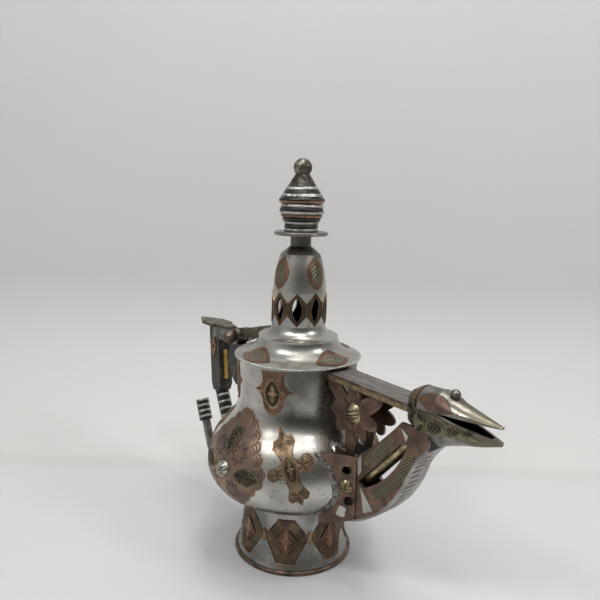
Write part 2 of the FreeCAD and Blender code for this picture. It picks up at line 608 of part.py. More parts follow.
node("finial_cap", revolved("finial_cap_body", [
    (rod_hole, cap_z), (size("hat_radius"), cap_z), (size("hat_top_radius"), tip_z), (rod_hole, tip_z)]))
rod_low = stem_z - wall - size("rivet_height")
rod_top = tip_z + size("ball_radius")
node("finial_rod", revolved("finial_rod_body", [
    (ZERO, rod_low - size("rivet_height")), (size("rivet_radius"), rod_low - size("rivet_height")),
    (size("rivet_radius"), rod_low), (size("rod_radius"), rod_low), (size("rod_radius"), rod_top),
    (ZERO, rod_top)]))
ball_low = size("hat_top_radius") * 0.9
ball_sink = Size((mm("ball_radius") ** 2 - ball_low.value ** 2) ** 0.5,
                 f"sqrt(Sizes.ball_radius * Sizes.ball_radius - {ball_low.text} * {ball_low.text})")
ball_z = tip_z + ball_sink
node("finial_ball", revolved("finial_ball_body", [
    (rod_hole, tip_z), (ball_low, tip_z), (ZERO, ball_z + size("ball_radius"), size("ball_radius"), ball_z),
    (ZERO, rod_top + size("rod_gap")), (rod_hole, rod_top + size("rod_gap"))]))

# Hinge: a strap from the lid's tower to a knuckle on a pin, held in the two ears of the handle's head
hinge_x = -size("hinge_reach")
hinge_z = mouth_z + size("hinge_rise")
knuckle = size("knuckle_radius")
ear = knuckle + size("ear_margin")
strap_top = lid_z + size("strap_rise")
strap_body = padded("strap_body", [[
    (hinge_x, hinge_z + knuckle, hinge_x - knuckle * 0.7071, hinge_z - knuckle * 0.7071),
    (-size("strap_end"), strap_top), (-size("strap_end"), strap_top - size("strap_depth")),
    (-size("lid_radius") - size("flange_edge"), flange_z + size("edge_wire")),
    (hinge_x + knuckle, hinge_z)]], size("strap_width"),
    circles=[(hinge_x, hinge_z, size("pin_radius") + size("pin_gap"))])
node("lid_strap", cut("strap_cut", strap_body, lid_form))
bar_top = mouth_z + size("bar_top_rise")
bar_low = mouth_z - size("bar_low_drop")
bar_tip = mouth_z - size("bar_tip_drop")
bar_in = -size("bar_top_reach")
bar_low_in = -size("bar_low_reach")
bar = node("handle_bar", padded("handle_bar_body", [[
    (bar_in, bar_top), (bar_in - size("bar_depth"), bar_top), (bar_low_in - size("bar_depth"), bar_low),
    (bar_low_in - size("bar_depth") + size("bar_tip_inset"), bar_tip),
    (bar_low_in - size("bar_tip_inset"), bar_tip), (bar_low_in, bar_low)]], size("bar_width")))
slot_half = size("strap_width") * 0.5 + size("slot_gap")
head_half = slot_half + size("ear_width")
head_body = padded("hinge_head_body", [[
    (bar_in - size("bar_depth") * 0.5, hinge_z - ear), (hinge_x, hinge_z - ear),
    (hinge_x, hinge_z + ear, hinge_x + ear, hinge_z), (-size("leaf_end_reach") + size("slot_gap"), bar_top),
    (bar_in - size("bar_depth") * 0.5, bar_top)]], head_half * 2,
    circles=[(hinge_x, hinge_z, size("pin_radius"))])
slot_back = hinge_x - knuckle - size("knuckle_room")
slot = padded("hinge_slot", [[
    (slot_back, hinge_z - ear * 2), (hinge_x + ear * 2, hinge_z - ear * 2),
    (hinge_x + ear * 2, hinge_z + ear * 2), (slot_back, hinge_z + ear * 2)]], slot_half * 2)
node("hinge_head", cut("hinge_head_cut", head_body, slot, bar))
pin = padded("hinge_pin_body", [], (head_half + size("knob_radius")) * 2,
             circles=[(hinge_x, hinge_z, size("pin_radius"))])
node("hinge_pin", pin)
doc.recompute()
knobs = []
for sign in (-1, 1):
    seat = sign * head_half.value
    centre = Vector(hinge_x.value, seat + sign * mm("knob_radius") * 0.8, hinge_z.value)
    ball = Part.makeSphere(mm("knob_radius"), centre)
    width = 2 * mm("knob_radius")
    corner = Vector(hinge_x.value - width, seat if sign > 0 else seat - width, hinge_z.value - width)
    room = Part.makeBox(2 * width, width, 2 * width, corner)
    knobs.append(ball.common(room).cut(pin.Shape))
node("hinge_knobs", formed("hinge_knobs", Part.makeCompound(knobs)))

# Neck bracket: an arm from the neck to the hinge, with a leaf curling down from its end
bracket_z = hinge_z - ear
bracket_x = -size("bracket_reach")
leaf_low = bracket_z - size("bracket_drop")
arm_low = bracket_z - size("bracket_depth")
bracket = padded("bracket_body", [[
    (ZERO, bracket_z), (bracket_x, bracket_z),
    (bracket_x + size("bracket_curl"), leaf_low,
     bracket_x - size("bracket_bow"), bracket_z - size("bracket_drop") * 0.55),
    (bracket_x + size("bracket_depth"), arm_low,
     bracket_x + size("bracket_depth") - size("bracket_bow"), bracket_z - size("bracket_drop") * 0.6),
    (ZERO, arm_low)]], size("bracket_width"))
node("neck_bracket", cut("bracket_cut", bracket, vessel_form))

# Thumb leaf: a flat pointed leaf on the bar's top
notch_x = -size("leaf_notch_reach")
leaf = padded("thumb_leaf_body", [[
    (-size("leaf_tip_reach"), ZERO), (-size("leaf_wide_reach"), -size("leaf_half_width")),
    (notch_x, -size("leaf_half_width")), (notch_x, -size("leaf_notch_half")),
    (-size("leaf_end_reach"), -size("leaf_end_half")), (-size("leaf_end_reach"), size("leaf_end_half")),
    (notch_x, size("leaf_notch_half")), (notch_x, size("leaf_half_width")),
    (-size("leaf_wide_reach"), size("leaf_half_width"))]], size("leaf_thickness"), "XY_Plane")
node("thumb_leaf", moved(leaf, z=bar_top + size("leaf_thickness") * 0.5))

# Bar trim: a brass strip let on to the inner face, and a pierced copper lens on each side
lean = math.degrees(math.atan2(mm("bar_top_reach") - mm("bar_low_reach"), bar_top.value - bar_low.value))
strip_half = mm("inlay_width") / 2
strip = loop_face([(-strip_half, -mm("inlay_length")), (strip_half, -mm("inlay_length")), (strip_half, 0),
                   (-strip_half, 0)])
strip = strip.extrude(Vector(mm("trim_thickness"), 0, 0))
strip.translate(Vector(0, 0, -mm("inlay_drop")))
strip.rotate(Vector(0, 0, 0), Vector(0, 1, 0), -lean)
strip.translate(Vector(bar_in.value, 0, bar_top.value))
node("bar_inlay", formed("bar_inlay", strip))
bar_lenses = []
for sign in (-1, 1):
    plaque = loop_face(lens_points(mm("plaque_width"), mm("plaque_length")))
    plaque = plaque.extrude(Vector(mm("trim_thickness"), 0, 0))
    hole = Part.makeCylinder(mm("plaque_hole"), mm("trim_thickness"), Vector(0, 0, 0), Vector(1, 0, 0))
    plaque = plaque.cut(hole)
    plaque.rotate(Vector(0, 0, 0), Vector(0, 0, 1), 90 * sign)
    centre = bar_in.value - mm("bar_depth") / 2 + mm("plaque_drop") * math.tan(math.radians(lean))
    middle = bar_top.value - mm("plaque_drop") - mm("plaque_length") / 2
    plaque.translate(Vector(centre, sign * mm("bar_width") / 2, middle))
    bar_lenses.append(plaque.cut(nodes["hinge_head"].Shape))
node("bar_lenses", formed("bar_lenses", Part.makeCompound(bar_lenses)))


# Ringed grip and tail tip: sleeves of horn between white-metal rings on a rod
def ring_row(start, heading, count, pitch, ring_width, radius, bore, lead):
    """Horn sleeves and metal rings along a line; the first sleeve starts early by lead."""
    horn = []
    metal = []
    for number in range(count):
        early = lead if number == 0 else 0.0
        sleeve = bead_ring(radius, radius, bore, pitch - ring_width + early, 0.02)
        sleeve.translate(Vector(0, 0, pitch * number - early))
        ring = bead_ring(radius, radius, bore, ring_width, mm("ring_proud"))
        ring.translate(Vector(0, 0, pitch * (number + 1) - ring_width))
        horn.append(sleeve)
        metal.append(ring)
    turn = FreeCAD.Placement(start, FreeCAD.Rotation(Vector(0, 0, 1), heading))
    for piece in horn + metal:
        piece.Placement = turn.multiply(piece.Placement)
    return horn, metal


grip_start = Vector(bar_low_in.value - mm("bar_depth") / 2, 0, bar_tip.value)
tilt = math.radians(mm("grip_angle"))
grip_way = Vector(math.sin(tilt), 0, -math.cos(tilt))
grip_pitch = mm("grip_length") / mm("grip_ring_count")
grip_lead = mm("grip_radius")
grip_horn, grip_metal = ring_row(grip_start, grip_way, int(mm("grip_ring_count")), grip_pitch,
                                 mm("grip_ring_width"), mm("grip_radius"),
                                 mm("grip_rod_radius") + mm("rod_gap"), grip_lead)
grip_horn = [piece.cut(bar.Shape) for piece in grip_horn]
grip_rod = Part.makeCylinder(mm("grip_rod_radius"), mm("grip_length") + grip_lead,
                             grip_start - grip_way * grip_lead, grip_way)
node("grip_rod", formed("grip_rod", grip_rod.cut(bar.Shape)))
node("grip_horn", formed("grip_horn", Part.makeCompound(grip_horn)))
node("grip_rings", formed("grip_rings", Part.makeCompound(grip_metal)))
root_low = root_z + size("root_low")
root_high = root_z + size("root_high")
root_form = padded("root_body", [[
    (-size("root_reach"), root_low), (-size("belly_low_radius"), base_z + size("seat_gap")),
    (ZERO, base_z + size("seat_gap")), (ZERO, root_high - size("root_width") * 0.5),
    (-size("belly_radius"), root_high - size("root_width") * 0.5),
    (-size("hinge_reach"), root_high + size("root_width") * 0.3), (-size("root_reach"), root_high)]],
    size("root_width"))
grip_form = formed("grip_form", Part.makeCylinder(
    mm("grip_radius") + mm("ring_proud"), mm("grip_length"), grip_start, grip_way))
handle_root = node("handle_root", cut("root_cut", root_form, vessel_form, grip_form))
doc.recompute()
tail_from = Vector(-mm("tail_start_reach"), 0, root_z.value + mm("tail_start_rise"))
tail_low = Vector(-mm("tail_low_reach"), 0, root_z.value + mm("tail_low_rise"))
tail_bend = Vector(-mm("tail_bend_reach"), 0, root_z.value + mm("tail_bend_rise"))
tail_arc = Part.Arc(tail_from, tail_low, tail_bend)
tail_way = tail_arc.tangent(tail_arc.LastParameter)[0]
tail_end = tail_bend + tail_way * mm("tail_length")
tail_path = Part.Wire([tail_arc.toShape(), Part.makeLine(tail_bend, tail_end)])
tail_start_way = tail_arc.tangent(tail_arc.FirstParameter)[0]
tail_ring = Part.Wire([Part.makeCircle(mm("tail_radius"), tail_from, tail_start_way)])
tail = tail_path.makePipeShell([tail_ring], True, False)
node("tail_tube", formed("tail_tube", tail.cut(handle_root.Shape)))
tail_pitch = mm("tail_tip_length") / mm("tail_ring_count")
tail_horn, tail_metal = ring_row(tail_end, tail_way, int(mm("tail_ring_count")), tail_pitch,
                                 mm("grip_ring_width"), mm("tail_tip_radius"),
                                 mm("grip_rod_radius") + mm("rod_gap"), 0.0)
node("tail_rod", formed("tail_rod", Part.makeCylinder(
    mm("grip_rod_radius"), mm("tail_tip_length"), tail_end, tail_way)))
node("tail_horn", formed("tail_horn", Part.makeCompound(tail_horn)))
node("tail_rings", formed("tail_rings", Part.makeCompound(tail_metal)))

# Bird head: a hollow jaw open at the top, under a hollow crown and upper beak
stations = ["back", "cheek", "throat", "beak_mid", "beak_front", "beak_tip"]
station_x = ["head_back_x", "head_cheek_x", "head_throat_x", "beak_mid_x", "beak_front_x", "beak_tip_x"]
mouth_drops = {"beak_mid": "mouth_mid_drop", "beak_front": "mouth_front_drop", "beak_tip": "mouth_tip_drop"}
seam_z = root_z.value + mm("seam_rise")


def head_section(x, half, flat_z, round_z):
    """A section with a flat edge at flat_z, upright sides and a round end at round_z."""
    shoulder_at = flat_z + (round_z - flat_z) * 0.4
    corners = [Vector(x, -half, flat_z), Vector(x, -half, shoulder_at), Vector(x, half, shoulder_at),
               Vector(x, half, flat_z)]
    arc = Part.Arc(corners[1], Vector(x, 0, round_z), corners[2]).toShape()
    return Part.Wire([Part.makeLine(corners[0], corners[1]), arc, Part.makeLine(corners[2], corners[3]),
                      Part.makeLine(corners[3], corners[0])])


def head_rows(upper):
    rows = []
    for name, x in zip(stations, station_x):
        half = mm(name + "_half")
        if upper:
            rows.append((mm(x), half, seam_z, seam_z + mm(name + "_crown")))
        else:
            drop = mm(mouth_drops[name]) if name in mouth_drops else 0.0
            rows.append((mm(x), half, seam_z - drop, root_z.value + mm(name + "_low")))
    return rows


def head_solid(upper, grow):
    way = 1 if upper else -1
    wires = []
    for x, half, flat_z, round_z in head_rows(upper):
        wires.append(head_section(x, half + grow, flat_z, round_z + way * grow))
    return Part.makeLoft(wires, True, True)


def head_hollow(upper):
    """The room inside, open through the flat side and closed at the back and the tip."""
    way = 1 if upper else -1
    thin = mm("head_wall")
    rows = head_rows(upper)
    front = tuple((a + b) / 2 for a, b in zip(rows[-2], rows[-1]))
    rows = [(rows[0][0] + thin,) + rows[0][1:]] + rows[1:-1] + [front]
    wires = []
    for x, half, flat_z, round_z in rows:
        wires.append(head_section(x, half - thin, flat_z - way * thin, round_z - way * thin))
    return Part.makeLoft(wires, True, True)


jaw_form = formed("jaw_form", head_solid(False, 0.0))
crown_form = formed("crown_form", head_solid(True, 0.0))
jaw_room = formed("jaw_room", head_hollow(False))
crown_room = formed("crown_room", head_hollow(True))
node("jaw", cut("jaw_cut", jaw_form, jaw_room, tube_outer))
node("upper_beak", cut("crown_cut", crown_form, crown_room))
jaw_skin = head_solid(False, mm("trim_thickness")).cut(jaw_form.Shape)
crown_skin = head_solid(True, mm("trim_thickness")).cut(crown_form.Shape)


def side_prism(points, reach):
    """A prism across the head of an outline drawn in the side view."""
    edges = []
    for index, corner in enumerate(points):
        target = points[(index + 1) % len(points)]
        start = Vector(corner[0], -reach, corner[1])
        stop = Vector(target[0], -reach, target[1])
        if len(target) == 2:
            edges.append(Part.makeLine(start, stop))
        else:
            edges.append(Part.Arc(start, Vector(target[2], -reach, target[3]), stop).toShape())
    return Part.Face(Part.Wire(edges)).extrude(Vector(0, 2 * reach, 0))


head_reach = 3 * mm("cheek_half")
panel_low = seam_z - mm("cheek_panel_drop") - mm("cheek_panel_height")
panel_high = seam_z - mm("cheek_panel_drop")
cheek_points = [(mm("head_back_x") + mm("head_wall"), (panel_low + panel_high) / 2),
                (mm("head_cheek_x") + mm("head_wall"), panel_low, mm("head_back_x") + 3 * mm("head_wall"),
                 panel_low + mm("cheek_panel_height") / 4),
                (mm("cheek_panel_end_x"), seam_z - mm("mouth_front_drop") - mm("mouth_mid_drop")),
                (mm("head_throat_x"), panel_high), (mm("head_cheek_x"), panel_high)]
cheeks = jaw_skin.common(side_prism(cheek_points, head_reach))
node("cheek_panels", formed("cheek_panels", Part.makeCompound(cheeks.Solids)))
inlay_mid = seam_z + mm("inlay_height") / 2 + mm("head_wall") / 2
inlay_middle_x = (mm("inlay_start_x") + mm("inlay_end_x")) / 2
inlay_half = mm("inlay_height") / 2
inlay_tip = inlay_mid - mm("inlay_height") / 3
inlay_points = [(mm("inlay_start_x"), inlay_mid, inlay_middle_x, inlay_mid - inlay_half),
                (mm("inlay_end_x"), inlay_tip, inlay_middle_x, inlay_mid + inlay_half)]
crown_inlays = crown_skin.common(side_prism(inlay_points, head_reach))
node("crown_inlays", formed("crown_inlays", Part.makeCompound(crown_inlays.Solids)))
collar_x = mm("inlay_start_x") - mm("collar_length") - mm("head_wall")
collar_box = Part.makeBox(mm("collar_length"), 2 * head_reach, 2 * head_reach,
                          Vector(collar_x, -head_reach, seam_z))
node("crown_collar", formed("crown_collar", Part.makeCompound(crown_skin.common(collar_box).Solids)))
bead_share = (mm("bead_x") - mm("head_throat_x")) / (mm("beak_mid_x") - mm("head_throat_x"))
bead_z = seam_z + mm("throat_crown") + bead_share * (mm("beak_mid_crown") - mm("throat_crown"))
bead = Part.makeSphere(mm("bead_radius"), Vector(mm("bead_x"), 0, bead_z + mm("bead_radius") / 2))
node("crown_bead", formed("crown_bead", bead.cut(crown_form.Shape)))

# Spout plates: two arms on each side, between the vessel and the jaw
doc.recompute()
root_x = size("root_start_x")
sole_start = (root_x, root_z + size("sole_start_rise"))
sole_end = side("sole_end_x", "sole_end_rise") + side("sole_mid_x", "sole_mid_rise")
chin = side("chin_x", "chin_rise") + side("chin_mid_x", "chin_mid_rise")
plate_loop = [sole_start, sole_end, chin, (size("chin_x"), root_z + size("arm_head_rise")),
              side("arm_head_x", "arm_head_rise"),
              side("arm_root_x", "arm_root_rise") + side("arm_mid_x", "arm_mid_rise"),
              (root_x, root_z + size("arm_root_rise"))]
window_loop = [side("window_low_x", "window_low_rise"), side("window_top_x", "window_top_rise"),
               side("window_tip_x", "window_tip_rise"),
               side("window_heel_x", "window_heel_rise") + side("window_bow_x", "window_bow_rise")]
plate_y = (size("spout_width") - size("plate_thickness")) * 0.5
outer_y = size("spout_width") * 0.5
hands = (("left", 1), ("right", -1))
plates = {}
for hand, sign in hands:
    blank = padded(f"plate_{hand}_body", [plate_loop, window_loop], size("plate_thickness"))
    moved(blank, y=plate_y * sign)
    plates[hand] = node(f"spout_plate_{hand}", cut(f"plate_{hand}_cut", blank, vessel_form, jaw_form))

# Under-strip: a bent strip closing the spout from below
lift = size("strip_thickness")


def outward(x, rise, across, down):
    point_x, point_z = side(x, rise)
    return point_x + lift * across, point_z - lift * down


chin_out = outward("chin_mid_x", "chin_mid_rise", 0.84, 0.55)
sole_out = outward("sole_mid_x", "sole_mid_rise", 0.72, 0.69)
strip_loop = [sole_start, sole_end, chin, outward("chin_x", "chin_rise", 0.6, 0.8),
              outward("sole_end_x", "sole_end_rise", 0.9, 0.43) + chin_out,
              outward("root_start_x", "sole_start_rise", 0.52, 0.85) + sole_out]
strip_body = padded("strip_body", [strip_loop], size("spout_width") + size("strip_overhang") * 2)
node("under_strip", cut("strip_cut", strip_body, vessel_form, jaw_form))

# Bridge: a flat plate from the mouth to the bird's head, with a brass strip below each edge
bridge_z = mouth_z - size("bridge_drop")
bridge_low = bridge_z - size("bridge_thickness")
bridge_end = size("bridge_end_x")
bridge_fall = size("bridge_fall")
bridge_body = padded("bridge_body", [[
    (root_x, bridge_z), (bridge_end, bridge_z - bridge_fall), (bridge_end, bridge_low - bridge_fall),
    (root_x, bridge_low)]],
    (outer_y + size("bridge_overhang")) * 2)
bridge = node("bridge_plate", cut("bridge_cut", bridge_body, vessel_form, jaw_form, crown_form))
edge_low = bridge_low - size("edge_strip_height")
doc.recompute()
edge_shapes = []
for hand, sign in hands:
    edge_body = padded(f"edge_{hand}_body", [[
        (root_x, bridge_low), (bridge_end, bridge_low - bridge_fall), (bridge_end, edge_low - bridge_fall),
        (root_x, edge_low)]], size("bridge_overhang"))
    moved(edge_body, y=(outer_y + size("bridge_overhang") * 0.5) * sign)
    edge_shapes.append(cut(f"edge_{hand}_cut", edge_body, vessel_form, jaw_form, crown_form))
doc.recompute()
node("bridge_edges", formed("bridge_edges", Part.makeCompound([item.Shape for item in edge_shapes])))

# Flowers: a pierced copper flower in each side, held by the neck, the bridge and the pillar
petals = [(143, "petal_long"), (90, "petal_top"), (32, "petal_upper"), (-10, "petal_lower"),
          (-53, "petal_small"), (-94, "petal_stem"), (-136, "lobe_length"), (-175, "lobe_length")]
flower_at = Vector(mm("flower_x"), 0, root_z.value + mm("flower_rise"))
thick = mm("plate_thickness")
blossom = Part.makeCylinder(mm("flower_disc"), thick, flower_at + Vector(0, -thick / 2, 0), Vector(0, 1, 0))
for angle, length in petals:
    reach = mm(length)
    oval = Part.Ellipse(Vector(reach / 2, 0, 0), reach / 2, mm("petal_width") / 2).toShape()
    petal = Part.Face(Part.Wire([oval])).extrude(Vector(0, 0, thick))
    petal.translate(Vector(0, 0, -thick / 2))
    petal.rotate(Vector(0, 0, 0), Vector(0, 0, 1), angle)
    petal.rotate(Vector(0, 0, 0), Vector(1, 0, 0), 90)
    petal.translate(flower_at)
    blossom = blossom.fuse(petal)
for hand, sign in hands:
    flower = blossom.removeSplitter()
    flower.translate(Vector(0, sign * plate_y.value, 0))
    flower = flower.cut(vessel_form.Shape).cut(bridge.Shape).cut(plates[hand].Shape)
    node(f"flower_{hand}", formed(f"flower_{hand}", max(flower.Solids, key=lambda solid: solid.Volume)))


# Domed bosses on the flowers and on the pillars
def dome(radius, height, x, z, seat, sign):
    ball_r = (radius ** 2 + height ** 2) / (2 * height)
    ball = Part.makeSphere(ball_r, Vector(x, seat + height - ball_r, z))
    room = Part.makeBox(4 * ball_r, 2 * ball_r, 4 * ball_r, Vector(x - 2 * ball_r, seat, z - 2 * ball_r))
    cap = ball.common(room)
    return cap if sign > 0 else cap.mirror(Vector(0, 0, 0), Vector(0, 1, 0))


overlay = size("overlay_thickness")
boss_seat = outer_y.value + overlay.value
flower_bosses = []
covers = []
for hand, sign in hands:
    flower_bosses.append(dome(mm("flower_boss"), mm("flower_boss_height"), flower_at.x, flower_at.z,
                              outer_y.value, sign))
    cover = padded(f"cover_{hand}_body", [plate_loop, window_loop], overlay)
    moved(cover, y=(outer_y + overlay * 0.5) * sign)
    covers.append(cut(f"cover_{hand}_cut", cover, vessel_form, jaw_form, nodes["cheek_panels"]))
pillar_room = padded("pillar_room", [plate_loop], size("pillar_spread") * 4)
doc.recompute()

# Pillars: on each side a copper sheet folded out from the cover to the belly, with two eyelets and a boss
pillar_edge = Vector(mm("pillar_fold_x"), boss_seat + mm("fold_gap"), 0)
pillar_way = Vector(mm("pillar_end_x"), mm("pillar_spread"), 0) - pillar_edge
pillar_out = Vector(pillar_way.y, -pillar_way.x, 0).normalize()
pillar_skin = pillar_out * overlay.value


def on_pillar(x, rise):
    share = (x - pillar_edge.x) / pillar_way.x
    return pillar_edge + pillar_way * share + Vector(0, 0, root_z.value + rise)


pillar_corners = [pillar_edge, pillar_edge + pillar_way, pillar_edge + pillar_way + pillar_skin,
                  pillar_edge + pillar_skin, pillar_edge]
pillar = Part.Face(Part.makePolygon(pillar_corners)).extrude(Vector(0, 0, mouth_z.value))
pillar = pillar.common(pillar_room.Shape).cut(vessel_form.Shape)
for eyelet in ("eyelet_high", "eyelet_low"):
    middle = on_pillar(mm(eyelet + "_x"), mm(eyelet + "_rise"))
    pillar = pillar.cut(Part.makeCylinder(mm(eyelet + "_radius"), mm("pillar_spread"),
                                          middle - pillar_out * mm("eyelet_high_radius"), pillar_out))
stud = dome(mm("pillar_boss"), mm("pillar_boss_height"), 0, 0, 0, 1)
stud.Placement = FreeCAD.Placement(on_pillar(mm("pillar_boss_x"), mm("pillar_boss_rise")) + pillar_skin,
                                   FreeCAD.Rotation(Vector(0, 1, 0), pillar_out))
stud = stud.cut(vessel_form.Shape)
pillars = [pillar, pillar.mirror(Vector(0, 0, 0), Vector(0, 1, 0))]
pillar_bosses = [stud, stud.mirror(Vector(0, 0, 0), Vector(0, 1, 0))]
node("flower_bosses", formed("flower_bosses", Part.makeCompound(flower_bosses)))
node("pillar_bosses", formed("pillar_bosses", Part.makeCompound(pillar_bosses)))
node("arm_overlays", formed("arm_overlays", Part.makeCompound(
    [item.Shape for item in covers] + pillars)))

# Every object sound, then one file for each piece
doc.recompute()
for item in doc.Objects:
    if "Invalid" in item.State or "Error" in item.State:
        raise RuntimeError(f"{item.Label} failed: {item.State}")
for name, item in nodes.items():
    if item.Shape.isNull() or not item.Shape.isValid() or not item.Shape.Solids:
        raise RuntimeError(f"{name} has no sound solid")
os.makedirs("parts", exist_ok=True)
for name, item in nodes.items():
    item.Shape.exportStep(f"parts/{name}.step")
print(len(nodes), "pieces written")
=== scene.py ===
import math

import bmesh
import bpy
import numpy as np
from mathutils import Matrix, Vector
from mathutils.bvhtree import BVHTree


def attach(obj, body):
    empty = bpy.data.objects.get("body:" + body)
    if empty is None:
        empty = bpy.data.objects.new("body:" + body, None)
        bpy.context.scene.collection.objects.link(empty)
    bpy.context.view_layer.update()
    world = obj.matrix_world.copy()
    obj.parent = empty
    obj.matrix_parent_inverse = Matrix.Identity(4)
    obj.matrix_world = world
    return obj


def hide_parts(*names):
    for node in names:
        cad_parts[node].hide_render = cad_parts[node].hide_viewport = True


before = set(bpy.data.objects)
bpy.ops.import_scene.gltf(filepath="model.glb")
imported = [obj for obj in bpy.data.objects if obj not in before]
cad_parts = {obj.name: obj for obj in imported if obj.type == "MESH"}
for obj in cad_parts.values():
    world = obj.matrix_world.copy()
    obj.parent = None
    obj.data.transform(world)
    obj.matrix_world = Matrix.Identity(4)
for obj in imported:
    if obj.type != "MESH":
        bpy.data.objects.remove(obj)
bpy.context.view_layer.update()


# Foot ring and vessel: raised and spun sheet, tinned all over and rubbed to a soft grey shine.
# Use has left fine scratches round the pot, dull clouds, dark stains and small black pits; the upper body is
# also darker towards the spout side in blots.
def add_sockets(group, side, colours, values=()):
    for kind, labels in (("NodeSocketColor", colours), ("NodeSocketFloat", values)):
        for label in labels:
            group.interface.new_socket(label, in_out=side, socket_type=kind)


def join(tree, start, end):
    """Feeds a socket from another node's output, or sets it to a constant."""
    if isinstance(start, (int, float, tuple)):
        end.default_value = start
    else:
        tree.links.new(start, end)


def math_node(tree, operation, first, second, clamp=False):
    node = tree.nodes.new("ShaderNodeMath")
    node.operation = operation
    node.use_clamp = clamp
    join(tree, first, node.inputs[0])
    join(tree, second, node.inputs[1])
    return node.outputs[0]


def mix_node(tree, share, first, second):
    node = tree.nodes.new("ShaderNodeMix")
    node.data_type = "RGBA"
    share_socket, first_socket, second_socket = node.inputs[0], node.inputs[6], node.inputs[7]
    for value, socket in ((share, share_socket), (first, first_socket), (second, second_socket)):
        join(tree, value, socket)
    return node.outputs[2]


def noise_node(tree, place, scale, detail, stretch=None):
    if stretch:
        mapping = tree.nodes.new("ShaderNodeMapping")
        mapping.inputs["Scale"].default_value = stretch
        join(tree, place, mapping.inputs["Vector"])
        place = mapping.outputs["Vector"]
    node = tree.nodes.new("ShaderNodeTexNoise")
    join(tree, detail, node.inputs["Detail"])
    join(tree, place, node.inputs["Vector"])
    join(tree, scale, node.inputs["Scale"])
    return node.outputs["Fac"]


cloud_detail, cloud_contrast = 7.0, 5.0
scratch_stretch, rub_stretch = (60.0, 60.0, 2600.0), (1500.0, 900.0, 90.0)
scratch_roughness, scratch_height, rub_height = 0.10, 0.5, 0.3
pit_scale, pit_size, pit_patch_scale, pit_limit, pit_darkness = 330.0, 0.17, 55.0, 0.72, 0.85
smoke_scale, smoke_limit, smoke_contrast, smoke_darkness = 16.0, 0.48, 2.6, 0.5
wear_depth = 0.0004

wear = bpy.data.node_groups.new("metal_wear", "ShaderNodeTree")
add_sockets(wear, "INPUT", ("Clean", "Dull", "Pit"),
            ("Cloud Scale", "Cloud Share", "Pit Share", "Smooth", "Rough"))
add_sockets(wear, "OUTPUT", ("Color",), ("Roughness", "Height"))
given = wear.nodes.new("NodeGroupInput").outputs
place = wear.nodes.new("ShaderNodeTexCoord").outputs["Object"]
cloud = noise_node(wear, place, given["Cloud Scale"], cloud_detail)
cloud = math_node(wear, "ADD", cloud, math_node(wear, "SUBTRACT", given["Cloud Share"], 1.0))
cloud = math_node(wear, "ADD", math_node(wear, "MULTIPLY", cloud, cloud_contrast), 0.5, True)
scratches = noise_node(wear, place, 1.0, 3.0, scratch_stretch)
rubs = noise_node(wear, place, 1.0, 2.0, rub_stretch)
cells = wear.nodes.new("ShaderNodeTexVoronoi")
cells.inputs["Scale"].default_value = pit_scale
join(wear, place, cells.inputs["Vector"])
pit_patches = math_node(wear, "ADD", noise_node(wear, place, pit_patch_scale, 3.0), given["Pit Share"])
pit_patches = math_node(wear, "GREATER_THAN", pit_patches, pit_limit)
pits = math_node(wear, "LESS_THAN", cells.outputs["Distance"], pit_size)
pits = math_node(wear, "MULTIPLY", pits, pit_patches)
smoke = math_node(wear, "SUBTRACT", noise_node(wear, place, smoke_scale, 3.0), smoke_limit, True)
smoke = math_node(wear, "MULTIPLY", smoke, smoke_contrast, True)
colour = mix_node(wear, cloud, given["Clean"], given["Dull"])
colour = mix_node(wear, math_node(wear, "MULTIPLY", smoke, smoke_darkness), colour, given["Pit"])
colour = mix_node(wear, math_node(wear, "MULTIPLY", pits, pit_darkness), colour, given["Pit"])
rough = math_node(wear, "MULTIPLY", math_node(wear, "SUBTRACT", given["Rough"], given["Smooth"]), cloud)
rough = math_node(wear, "ADD", given["Smooth"], rough)
rough = math_node(wear, "ADD", rough, math_node(wear, "MULTIPLY", scratches, scratch_roughness))
height = math_node(wear, "ADD", math_node(wear, "MULTIPLY", scratches, scratch_height),
                   math_node(wear, "MULTIPLY", rubs, rub_height))
height = math_node(wear, "SUBTRACT", height, pits)
given_out = wear.nodes.new("NodeGroupOutput").inputs
for result, label in ((colour, "Color"), (rough, "Roughness"), (height, "Height")):
    join(wear, result, given_out[label])


def finish_of(name, clean, dull, pit, roughness, clouds, pits=0.12, bump=0.12, metallic=1.0):
    """A worn finish: roughness of clean and of dull metal, and the scale and share of its dull clouds."""
    finish = bpy.data.materials.new(name)
    finish.use_nodes = True
    tree = finish.node_tree
    shader = tree.nodes["Principled BSDF"]
    worn = tree.nodes.new("ShaderNodeGroup")
    worn.node_tree = wear
    for label, value in (
            ("Clean", (*clean, 1.0)), ("Dull", (*dull, 1.0)), ("Pit", (*pit, 1.0)),
            ("Cloud Scale", clouds[0]), ("Cloud Share", clouds[1]), ("Pit Share", pits),
            ("Smooth", roughness[0]), ("Rough", roughness[1])):
        worn.inputs[label].default_value = value
    raised = tree.nodes.new("ShaderNodeBump")
    raised.inputs["Strength"].default_value = bump
    raised.inputs["Distance"].default_value = wear_depth
    join(tree, worn.outputs["Height"], raised.inputs["Height"])
    join(tree, worn.outputs["Color"], shader.inputs["Base Color"])
    join(tree, worn.outputs["Roughness"], shader.inputs["Roughness"])
    join(tree, raised.outputs["Normal"], shader.inputs["Normal"])
    shader.inputs["Metallic"].default_value = metallic
    return finish


def dress(finish, *names):
    for name in names:
        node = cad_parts[name]
        if not node.material_slots:
            node.data.materials.append(finish)
        for slot in node.material_slots:
            slot.material = finish


def place_of(tree):
    """The place on the pot, whole and as X, Y and Z, for stains that keep to one part of a piece."""
    place = tree.nodes.new("ShaderNodeTexCoord").outputs["Object"]
    split = tree.nodes.new("ShaderNodeSeparateXYZ")
    join(tree, place, split.inputs[0])
    return place, split.outputs


